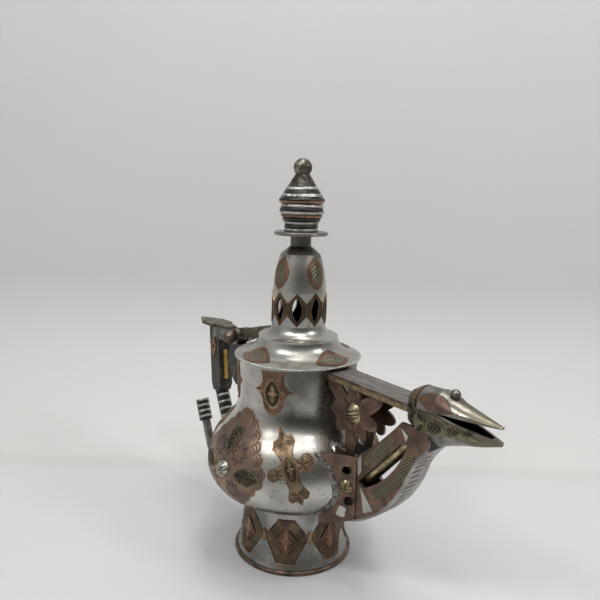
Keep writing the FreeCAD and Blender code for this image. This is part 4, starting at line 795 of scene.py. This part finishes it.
for number, kind in enumerate(layer_order):
    starts = chance.uniform(0, math.tau, 4)
    wobble = sum(size * np.sin(count * turns + start)
                 for size, count, start in zip(wobble_sizes, wobble_counts, starts))
    rings = []
    for share, out in ring_section:
        if out is None:
            reach = np.full(ring_points, ring_bore)
        else:
            sample = stack_low + layer_height * (number + min(max(share, 0.12), 0.88))
            hit = stack_surface.ray_cast(Vector((0.05, 0, sample * MM)), Vector((-1, 0, 0)))[0]
            reach = hit.x / MM + out + wobble * (1.0 if kind == "white" else soft_wobble)
        level = np.full(ring_points, stack_low + layer_height * (number + share))
        level = level + ring_tilt * np.sin(2 * turns + starts[0]) * (0 < share < 1)
        rings.append(np.stack([reach * np.cos(turns), reach * np.sin(turns), level], 1) * MM)
    add_loft(layers[kind], rings, closed=True)
make_piece("finial_white_rings", layers["white"], white_rings, "white_metal", "lid", "finial_rings")
make_piece("finial_black_rings", layers["horn"], horn, "black_horn", "lid", "finial_horn")
make_piece("finial_copper_rings", layers["copper"], copper, "copper", "lid", "finial_copper")


# Hinge and handle: a blackened bar with brass and copper trim, a thumb leaf and a ringed horn grip.
# The lid's strap turns on a pin between two ears, and the pin ends in ringed brown balls.
black_bar = finish_of(
    "blackened_bar", clean=(0.035, 0.032, 0.029), dull=(0.10, 0.085, 0.07), pit=(0.01, 0.01, 0.01),
    roughness=(0.30, 0.55), clouds=(130.0, 0.4), pits=0.2, metallic=0.3)
grey = finish_of(
    "grey_metal", clean=(0.28, 0.27, 0.25), dull=(0.14, 0.132, 0.12), pit=(0.04, 0.03, 0.03),
    roughness=(0.3, 0.5), clouds=(150.0, 0.5), pits=0.2)
weathered = finish_of(
    "weathered_brass", clean=(0.26, 0.225, 0.17), dull=(0.15, 0.122, 0.095), pit=(0.04, 0.03, 0.02),
    roughness=(0.36, 0.6), clouds=(140.0, 0.5), pits=0.2, bump=0.2)
gold = finish_of(
    "gold_strip", clean=(0.78, 0.55, 0.14), dull=(0.50, 0.34, 0.10), pit=(0.10, 0.06, 0.02),
    roughness=(0.3, 0.5), clouds=(300.0, 0.4))
ball_brown = finish_of(
    "brown_ball", clean=(0.24, 0.18, 0.14), dull=(0.13, 0.095, 0.075), pit=(0.02, 0.02, 0.02),
    roughness=(0.28, 0.5), clouds=(200.0, 0.5))
dress(black_bar, "handle_bar", "neck_bracket")
dress(grey, "hinge_head", "tail_tube", "handle_root", "grip_rod", "tail_rod", "hinge_pin")
dress(weathered, "lid_strap", "thumb_leaf")
dress(gold, "bar_inlay")
dress(copper, "bar_lenses")
dress(ball_brown, "hinge_knobs")
dress(horn, "grip_horn", "tail_horn")
dress(white_rings, "grip_rings", "tail_rings")


# Spout sides: copper cover sheets over tinned plates, pierced by eyelets and a long window, with
# braided inlays along both arms. A brass tube behind them carries the coffee.
side_copper = engraved_finish(
    "side_copper", clean=(0.205, 0.13, 0.096), dull=(0.128, 0.09, 0.074), pit=(0.04, 0.03, 0.025),
    roughness=(0.30, 0.5), clouds=(120.0, 0.5), inlay=(0.29, 0.255, 0.175))
tube_brass = finish_of(
    "tube_brass", clean=(0.58, 0.49, 0.30), dull=(0.33, 0.26, 0.15), pit=(0.06, 0.05, 0.03),
    roughness=(0.28, 0.5), clouds=(150.0, 0.5))
dress(side_copper, "arm_overlays")
dress(grey, "spout_plate_left", "spout_plate_right")
dress(tube_brass, "spout_tube")
cover_face = 9.6
upper_arm, upper_width = ((80.5, 94.0), (92.0, 104.2), (102.5, 116.5)), 6.6
lower_arm, lower_width = ((87.0, 75.0), (105.3, 91.5), (116.6, 112.5)), 6.8
twist_length, twist_slant = 2.1, 5.0


def on_side(side, seat):
    """Lays a plaque drawn in the side view (x, z) flat on one side of the spout."""
    def lay(flat, proud):
        return np.array([(x, side * (seat + rise), z) for (x, z), rise in zip(flat, proud)]) * MM
    return lay


def add_inlay(stock, arm, width, shape, lay):
    """A round-ended strip along an arc of the side view; shape gives its relief along and across."""
    length_points, width_points, back = 220, 33, -0.1
    path = arc_through(*arm, length_points)
    heading = np.gradient(path, axis=0)
    heading /= np.linalg.norm(heading, axis=1)[:, None]
    run = run_along(path)
    columns = np.linspace(-1, 1, width_points)
    rings, marks, inlays = [], [], []
    for point, way, along in zip(path, heading, run):
        spare = min(along, run[-1] - along)
        half = width / 2 * (math.sqrt(max(0.02, 1 - (1 - min(spare / (width / 2), 1)) ** 2)))
        flat = point + np.outer(columns * half, (-way[1], way[0]))
        proud, mark = shape(along, columns * half, spare, width / 2)
        front = lay(flat, proud)
        rear = lay(flat[::-1], np.full(width_points, back))
        rings.append(np.concatenate([front, rear]))
        marks.append(np.concatenate([mark, np.zeros(width_points)]))
        inlays.append(np.ones(2 * width_points))
    add_loft(stock, rings, marks, inlays)


def braid_shape(along, across, spare, half):
    reach = np.abs(across)
    edge = np.maximum(ridge(reach, half * 0.70, 0.24), ridge(reach, half * 0.96, 0.20))
    edge = np.maximum(edge, float(spare < half * 0.2))
    twist = 0.5 + 0.5 * np.sin(math.tau * (along / twist_length + across / twist_slant))
    braid = np.clip((twist - 0.35) * 3, 0, 1) * (reach < half * 0.52)
    return 0.18 + 0.32 * np.maximum(edge, 0.8 * braid), np.clip(1 - edge - 0.85 * braid, 0, 1)


inlays = new_stock()
for side in (-1, 1):
    add_inlay(inlays, upper_arm, upper_width, braid_shape, on_side(side, cover_face))
    add_inlay(inlays, lower_arm, lower_width, braid_shape, on_side(side, cover_face))
make_piece("arm_braids", inlays, side_copper, "copper", "pot")


# Flowers: pierced copper flowers, each petal engraved with an inner outline, round a brass boss with slits.
# A smaller petalled boss is riveted to each pillar.
flower_copper = engraved_finish(
    "flower_copper", clean=(0.215, 0.138, 0.10), dull=(0.14, 0.095, 0.073), pit=(0.05, 0.035, 0.03),
    roughness=(0.28, 0.46), clouds=(140.0, 0.5), inlay=(0.36, 0.26, 0.16))
boss_brass = engraved_finish(
    "boss_brass", clean=(0.37, 0.31, 0.195), dull=(0.23, 0.19, 0.12), pit=(0.05, 0.04, 0.03),
    roughness=(0.24, 0.42), clouds=(220.0, 0.45), inlay=(0.36, 0.31, 0.20))
dress(flower_copper, "flower_left", "flower_right")
flower_x, flower_z, flower_face = 67.2, 121.8, 9.0
petal_list = ((143, 31.0), (90, 15.5), (32, 27.5), (-10, 21.2),
              (-53, 18.6), (-94, 28.0), (-136, 20.0), (-175, 20.0))
petal_length, petal_width, petal_centre = 0.66, 7.4, 0.60
slit_boss_radius, rosette_radius, rosette_x, rosette_z = 7.2, 4.6, 67.5, 74.2
fold_x, fold_y, fold_run_x, fold_run_y = 73.0, 9.65, 21.0, 12.35
fold_cos, fold_sin, pillar_sheet = 0.862, 0.507, 0.6


def petal_leaf_shape(u, v, share, turn):
    grooves = ridge(share, 0.62, 0.06) + ridge(share, 0.30, 0.05)
    return 0.32 - 0.2 * grooves, np.clip(grooves, 0, 1) * 0.8, 0.0


def slit_boss_shape(u, v, share, turn):
    dome = 3.6 * (1 - share ** 2)
    slit = 0.0
    for middle, bow in ((1.9, 0.10), (-0.8, 0.02), (-3.0, -0.10)):
        slit = slit + ridge(v - 0.25 * u - middle + bow * u * u / 4, 0.0, 0.38) * (share < 0.86)
    return dome - 0.7 * np.clip(slit, 0, 1), np.clip(slit, 0, 1), 0.0


def rosette_shape(u, v, share, turn):
    folds = np.abs(np.cos(math.tau * 4 * turn)) ** 0.7
    return 0.25 + 2.3 * (1 - share ** 2) * (0.75 + 0.25 * folds), (1 - folds) * 0.9 * (share > 0.15), 0.0


def shifted(lay, x, z, turn=0.0):
    way = math.radians(turn)
    spin = np.array([(math.cos(way), math.sin(way)), (-math.sin(way), math.cos(way))])

    def moved_lay(flat, proud):
        return lay(flat @ spin + np.array((x, z)), proud)
    return moved_lay


def on_pillar(side, x, z):
    """Lays a plaque on the copper pillar folded out from the spout to the belly, at one point of it."""
    away = fold_y + (fold_x - x) * fold_run_y / fold_run_x

    def lay(flat, proud):
        placed = []
        for (u, v), rise in zip(flat, proud):
            stand = pillar_sheet + rise
            placed.append((x + u * fold_cos + stand * fold_sin,
                           side * (away - u * fold_sin + stand * fold_cos), z + v))
        return np.array(placed) * MM
    return lay


leaves, flower_caps, pillar_caps = new_stock(), new_stock(), new_stock()
for side in (-1, 1):
    lay = on_side(side, flower_face)
    for turn, reach in petal_list:
        rim = lying_lens(reach * petal_length, petal_width, 60)
        way = math.radians(turn)
        middle = reach * petal_centre
        seat = shifted(lay, flower_x + middle * math.cos(way), flower_z + middle * math.sin(way), turn)
        add_plaque(leaves, rim, petal_leaf_shape, seat, rings=16, back=-0.1)
    add_plaque(flower_caps, disc(slit_boss_radius, 96), slit_boss_shape, shifted(lay, flower_x, flower_z),
               rings=40, back=-0.1)
    add_plaque(pillar_caps, disc(rosette_radius, 80), rosette_shape, on_pillar(side, rosette_x, rosette_z),
               rings=16, back=-0.1)
make_piece("petal_leaves", leaves, flower_copper, "copper", "pot")
make_piece("flower_slit_bosses", flower_caps, boss_brass, "old_brass", "pot", "flower_bosses")
make_piece("pillar_rosettes", pillar_caps, boss_brass, "old_brass", "pot", "pillar_bosses")


# Pillar fittings: rolled eyelet rims, thin white plates beside each pillar, and the lumpy solder
# that joins the pillar's edge to the belly.
solder = finish_of(
    "dull_solder", clean=(0.30, 0.29, 0.27), dull=(0.10, 0.095, 0.088), pit=(0.03, 0.03, 0.028),
    roughness=(0.3, 0.5), clouds=(260.0, 0.5), pits=0.3, bump=0.3)
eyelets, eyelet_rim = ((67.5, 85.1, 2.7), (69.3, 64.8, 3.0)), 1.1
side_plates = (
    ((73.4, 94.6), (74.2, 83.0), (77.2, 86.6), (76.6, 97.2)), ((76.6, 76.6), (80.4, 60.4), (88.2, 65.4)),
    ((112.0, 117.8), (113.6, 121.6), (108.4, 124.6)))
heel = outline([(-3.2, -2.6), (2.6, -3.4, 0.2, -3.8), (3.6, 1.8), (-1.2, 3.4, 1.4, 3.6)], 72)
heel_x, heel_z = 65.0, 57.2
seam_low, seam_high, seam_steps, seam_sides, seam_end = 51.0, 93.5, 170, 16, 8
seam_y, lump_rates = 9.95, (0.21, 0.47, 0.83, 1.31)


def rolled_rim_shape(u, v, share, turn):
    return 0.05 + 0.5 * math.sin(math.pi * share), 0.3, 0.0


def white_plate_shape(u, v, share, turn):
    return 0.28 - 0.12 * (share > 0.93), float(share > 0.97), 0.0


eyelet_rims, white_plates, seams = new_stock(), new_stock(), new_stock()
ways = np.linspace(0, math.tau, seam_sides, endpoint=False)
for side in (-1, 1):
    for x, z, radius in eyelets:
        add_plaque(eyelet_rims, disc(radius + eyelet_rim, 64), rolled_rim_shape, on_pillar(side, x, z),
                   rings=8, hollow=disc(radius, 64), back=-0.1)
    for corners in side_plates:
        middle = np.mean(corners, axis=0)
        rim = outline([tuple(np.array(corner) - middle) for corner in corners], 72)
        add_plaque(white_plates, rim, white_plate_shape, shifted(on_side(side, cover_face), *middle),
                   rings=10, back=-0.05)
    add_plaque(white_plates, heel, white_plate_shape, on_pillar(side, heel_x, heel_z), rings=10, back=-0.05)
    outward, away = Vector((fold_sin, side * fold_cos, 0)), Vector((fold_cos, -side * fold_sin, 0))
    starts = chance.uniform(0, math.tau, 4)
    rings = []
    for step, z in enumerate(np.linspace(seam_low, seam_high, seam_steps)):
        foot = vessel_surface.ray_cast(Vector((fold_x * MM, side * seam_y * MM, z * MM)), -away)[0]
        lump = sum(math.sin(step * rate + start) for rate, start in zip(lump_rates, starts)) / 4
        ends = min(1.0, 0.2 + step / seam_end, 0.2 + (seam_steps - 1 - step) / seam_end)
        wide, thick = (2.3 + 0.8 * lump) * ends, (0.75 + 0.35 * lump) * ends
        grains = 1 + 0.16 * np.sin(5 * ways + step * 0.9) * math.sin(step * 0.6)
        grains = grains + chance.uniform(-0.10, 0.10, seam_sides)
        rings.append(np.array([foot + away * ((1.0 + wide * grain * math.cos(way)) * MM)
                               + outward * ((0.45 + thick * grain * math.sin(way)) * MM)
                               for way, grain in zip(ways, grains)]))
    add_loft(seams, rings)
make_piece("eyelet_rims", eyelet_rims, brown, "copper", "pot")
make_piece("white_plates", white_plates, lid_tin, "white_metal", "pot")
make_piece("pillar_solder", seams, solder, "white_metal", "pot")


# Bridge and under-strip: bent tinned strips closing the spout above and below.
# The bridge has lengthwise bands and a brass strip under each edge; the under-strip has cut ticks.
strip_metal = finish_of(
    "strip_metal", clean=(0.35, 0.33, 0.31), dull=(0.245, 0.225, 0.21), pit=(0.07, 0.055, 0.05),
    roughness=(0.24, 0.42), clouds=(60.0, 0.5))
mauve = finish_of(
    "mauve_band", clean=(0.31, 0.275, 0.26), dull=(0.22, 0.19, 0.18), pit=(0.07, 0.05, 0.045),
    roughness=(0.26, 0.44), clouds=(70.0, 0.5))
dress(strip_metal, "under_strip")
dress(brown, "bridge_plate")
dress(old_brass, "bridge_edges")
band_start, band_end, band_steps = 47.5, 110.5, 40
bridge_x, bridge_top, bridge_run, bridge_drop = 41.9, 143.3, 70.1, 2.6
band_foot, band_side, band_face, band_round = -0.1, 0.18, 0.28, 0.2
pale_bands, mauve_bands, ticks = new_stock(), new_stock(), new_stock()
band_edges = ((pale_bands, -9.7, -8.3), (mauve_bands, -7.9, -5.4), (pale_bands, -5.0, -0.2),
              (mauve_bands, 0.2, 3.4), (pale_bands, 3.8, 7.6), (mauve_bands, 8.0, 9.7))
for stock, near, far in band_edges:
    rings = []
    for x in np.linspace(band_start, band_end, band_steps):
        top = bridge_top - (x - bridge_x) * bridge_drop / bridge_run
        section = ((near, band_foot), (near, band_side), (near + band_round, band_face),
                   (far - band_round, band_face), (far, band_side), (far, band_foot))
        rings.append(np.array([(x, y, top + rise) for y, rise in section]) * MM)
    add_loft(stock, rings)
make_piece("bridge_pale_bands", pale_bands, strip_metal, "white_metal", "pot")
make_piece("bridge_mauve_bands", mauve_bands, mauve, "white_metal", "pot")
sole = np.concatenate([arc_through((42.0, 45.0), (90.5, 64.7), (114.5, 101.0), 300)[:-1],
                       arc_through((114.5, 101.0), (119.5, 109.5), (128.0, 118.5), 80)])
sole_run = run_along(sole)
tick_start, tick_end, tick_step, tick_foot = 14.0, 10.0, 4.1, 1.0
tick_rows = ((-6.4, 0.14, 1.46), (-6.0, 0.30, 1.56), (-2.0, 0.30, 1.56), (2.0, 0.30, 1.56), (2.4, 0.14, 1.46))
for spot in np.arange(tick_start, sole_run[-1] - tick_end, tick_step):
    here, beyond = (np.array([np.interp(place, sole_run, sole[:, axis]) for axis in (0, 1)])
                    for place in (spot, spot + 0.5))
    way = (beyond - here) / np.linalg.norm(beyond - here)
    out = np.array([way[1], -way[0]])
    rings = []
    for y, half, rise in tick_rows:
        ring = [here - way * half + out * tick_foot, here - way * half + out * rise,
                here + way * half + out * rise, here + way * half + out * tick_foot]
        rings.append(np.array([(x, y, z) for x, z in ring]) * MM)
    add_loft(ticks, rings)
make_piece("under_strip_ticks", ticks, brown, "white_metal", "pot")


# Bird head: a hollow jaw and crown of tinned sheet with an open beak worn to brass, brass cheeks, copper
# drops on the crown, a brass collar behind it and a soldered bead on top.
beak_start, beak_rate, beak_strength, beak_colour = 0.136, 45.0, 0.7, (0.20, 0.172, 0.115)
head_tin = finish_of(
    "head_metal", clean=(0.31, 0.293, 0.26), dull=(0.165, 0.153, 0.13), pit=(0.05, 0.045, 0.04),
    roughness=(0.22, 0.42), clouds=(90.0, 0.5))
tree = head_tin.node_tree
beak = fade_in(tree, place_of(tree)[1]["X"], beak_start, beak_rate)
tint(head_tin, math_node(tree, "MULTIPLY", beak, beak_strength), beak_colour)
dress(head_tin, "jaw", "upper_beak", "crown_bead")
dress(dark_brass, "cheek_panels")
dress(old_brass, "crown_collar")
dress(side_copper, "crown_inlays")
cheek_surface = surface_of("cheek_panels", "jaw")
cheek_disc_x, cheek_disc_z, cheek_disc_radius = 119.6, 133.2, 6.3
cheek_leaves = ((132.2, 133.0, 12.0, 8.6, 4), (143.4, 134.4, 9.4, 5.4, 6), (151.6, 135.0, 6.4, 3.0, 8))


def on_cheek(side, x, z, turn=0.0):
    inward = Vector((0, -side, 0))

    def lay(flat, proud):
        placed = []
        for (px, pz), rise in zip(flat, proud):
            start = Vector((px * MM, side * 0.04, pz * MM))
            hit = cheek_surface.ray_cast(start, inward)[0] or cheek_surface.find_nearest(start)[0]
            placed.append((hit.x, hit.y + side * rise * MM, hit.z))
        return np.array(placed)
    return shifted(lay, x, z, turn)


def cheek_disc_shape(u, v, share, turn):
    star = np.maximum(petals(u, v, 4, 5.6, 2.4), petals(u, v, 4, 4.6, 1.8, 45.0))
    edge = float(share > 0.86)
    return 0.05 + 0.45 * np.maximum(star, edge), np.clip(1 - star - edge, 0, 1), 0.0


def cheek_leaf_shape(u, v, share, turn):
    edge = float(share > 0.80)
    vein = veins(u, v, 0.9, 2.3, 0.2)
    return 0.05 + 0.38 * np.maximum(edge, vein), np.clip(1 - edge - 0.8 * vein, 0, 1), 0.0


cheeks = new_stock()
for side in (-1, 1):
    lay = on_cheek(side, cheek_disc_x, cheek_disc_z)
    add_plaque(cheeks, disc(cheek_disc_radius, 96), cheek_disc_shape, lay, rings=28, back=-0.2)
    for x, z, length, width, turn in cheek_leaves:
        lay = on_cheek(side, x, z, turn)
        add_plaque(cheeks, lying_lens(length, width, 80), cheek_leaf_shape, lay, rings=18, back=-0.2)
make_piece("cheek_engraving", cheeks, dark_brass, "old_brass", "pot")


# Stage: a pale table in front of a pale wall that sweeps up behind it, seen only from the front.
# The room's light is even, but darker towards the front, so that the metal has something dark to mirror.
view_turn = math.radians(50)
right = Vector((math.cos(view_turn), math.sin(view_turn), 0))
ahead = Vector((-math.sin(view_turn), math.cos(view_turn), 0))
up = Vector((0, 0, 1))
table_colour, table_back_colour = (0.66, 0.665, 0.675), (0.635, 0.63, 0.617)
wall_colour = (0.69, 0.685, 0.672)
table_reach, table_level, table_seam, seam_rate = 3.0, -0.0002, 0.115, 400.0
wall_foot, wall_sweep, wall_height, sweep_steps, stage_half_width = 0.14, 0.16, 1.6, 24, 2.5


def reach_along(tree, place, direction):
    node = tree.nodes.new("ShaderNodeVectorMath")
    node.operation = "DOT_PRODUCT"
    join(tree, place, node.inputs[0])
    node.inputs[1].default_value = direction
    return node.outputs["Value"]


def join_mix(tree, share, first, second, end):
    choice = tree.nodes.new("ShaderNodeMixShader")
    for start, socket in zip((share, first, second), choice.inputs):
        join(tree, start, socket)
    join(tree, choice.outputs[0], end)


def pale_finish(name, colour, see_through, back_colour=None):
    finish = bpy.data.materials.new(name)
    finish.use_nodes = True
    tree = finish.node_tree
    shader = tree.nodes["Principled BSDF"]
    place = tree.nodes.new("ShaderNodeTexCoord").outputs["Object"]
    grain = noise_node(tree, place, 9.0, 5.0)
    tone = mix_node(tree, grain, (*[part * 0.97 for part in colour], 1.0), (*colour, 1.0))
    if back_colour:
        behind = fade_in(tree, reach_along(tree, place, ahead), table_seam, seam_rate)
        tone = mix_node(tree, behind, tone, (*back_colour, 1.0))
    join(tree, tone, shader.inputs["Base Color"])
    shader.inputs["Roughness"].default_value = 0.6
    if see_through:
        clear = tree.nodes.new("ShaderNodeBsdfTransparent")
        from_behind = tree.nodes.new("ShaderNodeNewGeometry").outputs["Backfacing"]
        join_mix(tree, from_behind, shader.outputs[0], clear.outputs[0],
                 tree.nodes["Material Output"].inputs["Surface"])
    return finish


def stage_sheet(name, rows, finish):
    points = [right * side + ahead * depth + up * level
              for depth, level in rows for side in (-stage_half_width, stage_half_width)]
    faces = [(2 * row, 2 * row + 1, 2 * row + 3, 2 * row + 2) for row in range(len(rows) - 1)]
    mesh = bpy.data.meshes.new(name)
    mesh.from_pydata(points, [], faces)
    mesh.shade_smooth()
    mesh.materials.append(finish)
    sheet = bpy.data.objects.new(name, mesh)
    bpy.context.scene.collection.objects.link(sheet)
    return sheet


stage_sheet("table", [(-table_reach, table_level), (table_reach, table_level)],
            pale_finish("pale_table", table_colour, False, table_back_colour))
wall_rows = [(wall_foot, 0.0)]
for step in range(1, sweep_steps + 1):
    bend = step * math.pi / (2 * sweep_steps)
    wall_rows.append((wall_foot + wall_sweep * math.sin(bend), wall_sweep * (1 - math.cos(bend))))
wall_rows.append((wall_foot + wall_sweep, wall_height))
wall = stage_sheet("wall", wall_rows, pale_finish("pale_wall", wall_colour, True))
wall.visible_shadow = False

room_strength, dark_contrast, dark_limit, ceiling_contrast, ceiling_limit = 0.66, 1.25, 0.05, 1.8, 0.7
room_pale, room_dark = (0.80, 0.80, 0.79, 1.0), (0.13, 0.125, 0.12, 1.0)
room_ceiling, shown_colour = (0.66, 0.66, 0.65, 1.0), (0.80, 0.79, 0.77, 1.0)
world = bpy.data.worlds.new("soft_room")
bpy.context.scene.world = world
world.use_nodes = True
tree = world.node_tree
light = tree.nodes["Background"]
way = tree.nodes.new("ShaderNodeTexCoord").outputs["Generated"]
split = tree.nodes.new("ShaderNodeSeparateXYZ")
join(tree, way, split.inputs[0])
towards_front = reach_along(tree, way, right * 0.45 - ahead * 0.9)
dark_share = math_node(tree, "MULTIPLY", towards_front, dark_contrast)
dark_share = math_node(tree, "SUBTRACT", dark_share, dark_limit, True)
ceiling = math_node(tree, "MULTIPLY", split.outputs["Z"], ceiling_contrast)
ceiling = math_node(tree, "SUBTRACT", ceiling, ceiling_limit, True)
room = mix_node(tree, dark_share, room_pale, room_dark)
join(tree, mix_node(tree, ceiling, room, room_ceiling), light.inputs["Color"])
light.inputs["Strength"].default_value = room_strength
shown = tree.nodes.new("ShaderNodeBackground")
shown.inputs["Color"].default_value = shown_colour
seen_directly = tree.nodes.new("ShaderNodeLightPath").outputs["Is Camera Ray"]
join_mix(tree, seen_directly, light.outputs[0], shown.outputs[0], tree.nodes["World Output"].inputs["Surface"])


def lamp(name, side, depth, level, size, power):
    aim = Vector((0, 0, 0.12))
    data = bpy.data.lights.new(name, "AREA")
    data.shape = "DISK"
    data.size = size
    data.energy = power
    lamp_object = bpy.data.objects.new(name, data)
    lamp_object.location = right * side + ahead * depth + up * level
    lamp_object.rotation_euler = (aim - lamp_object.location).to_track_quat("-Z", "Y").to_euler()
    bpy.context.scene.collection.objects.link(lamp_object)


lamp("key_lamp", -0.6, -0.55, 1.0, 0.24, 2.6)
lamp("fill_lamp", 0.9, -0.5, 0.9, 0.28, 3.1)
lamp("top_lamp", 0.1, 0.1, 1.3, 0.5, 3.6)
for number, (side, depth) in enumerate(((-0.30, -0.62), (0.02, -0.72), (0.34, -0.60), (0.10, -0.30))):
    lamp(f"ceiling_lamp_{number}", side, depth, 1.1, 0.10, 0.9)


# Eye: the view from the spout's side, a little above the vessel, nearly level and slightly rolled.
# Its place and lens were worked out from the pot's own rings and known sizes.
pitch, roll = 0.1022, 0.0277
eye_back, eye_left, eye_height = 0.43983, 0.000265, 0.26004
eye = bpy.data.cameras.new("eye")
eye.lens = 36.95
eye.shift_y = -0.0697
eye_object = bpy.data.objects.new("eye", eye)
bpy.context.scene.collection.objects.link(eye_object)
gaze = ahead * math.cos(pitch) - up * math.sin(pitch)
lift = ahead * math.sin(pitch) + up * math.cos(pitch)
eye_x = right * math.cos(roll) + lift * math.sin(roll)
eye_y = lift * math.cos(roll) - right * math.sin(roll)
eye_place = Matrix((eye_x, eye_y, -gaze)).transposed().to_4x4()
eye_place.translation = ahead * -eye_back + right * -eye_left + up * eye_height
eye_object.matrix_world = eye_place
bpy.context.scene.camera = eye_object
bpy.context.scene.view_settings.view_transform = "Standard"
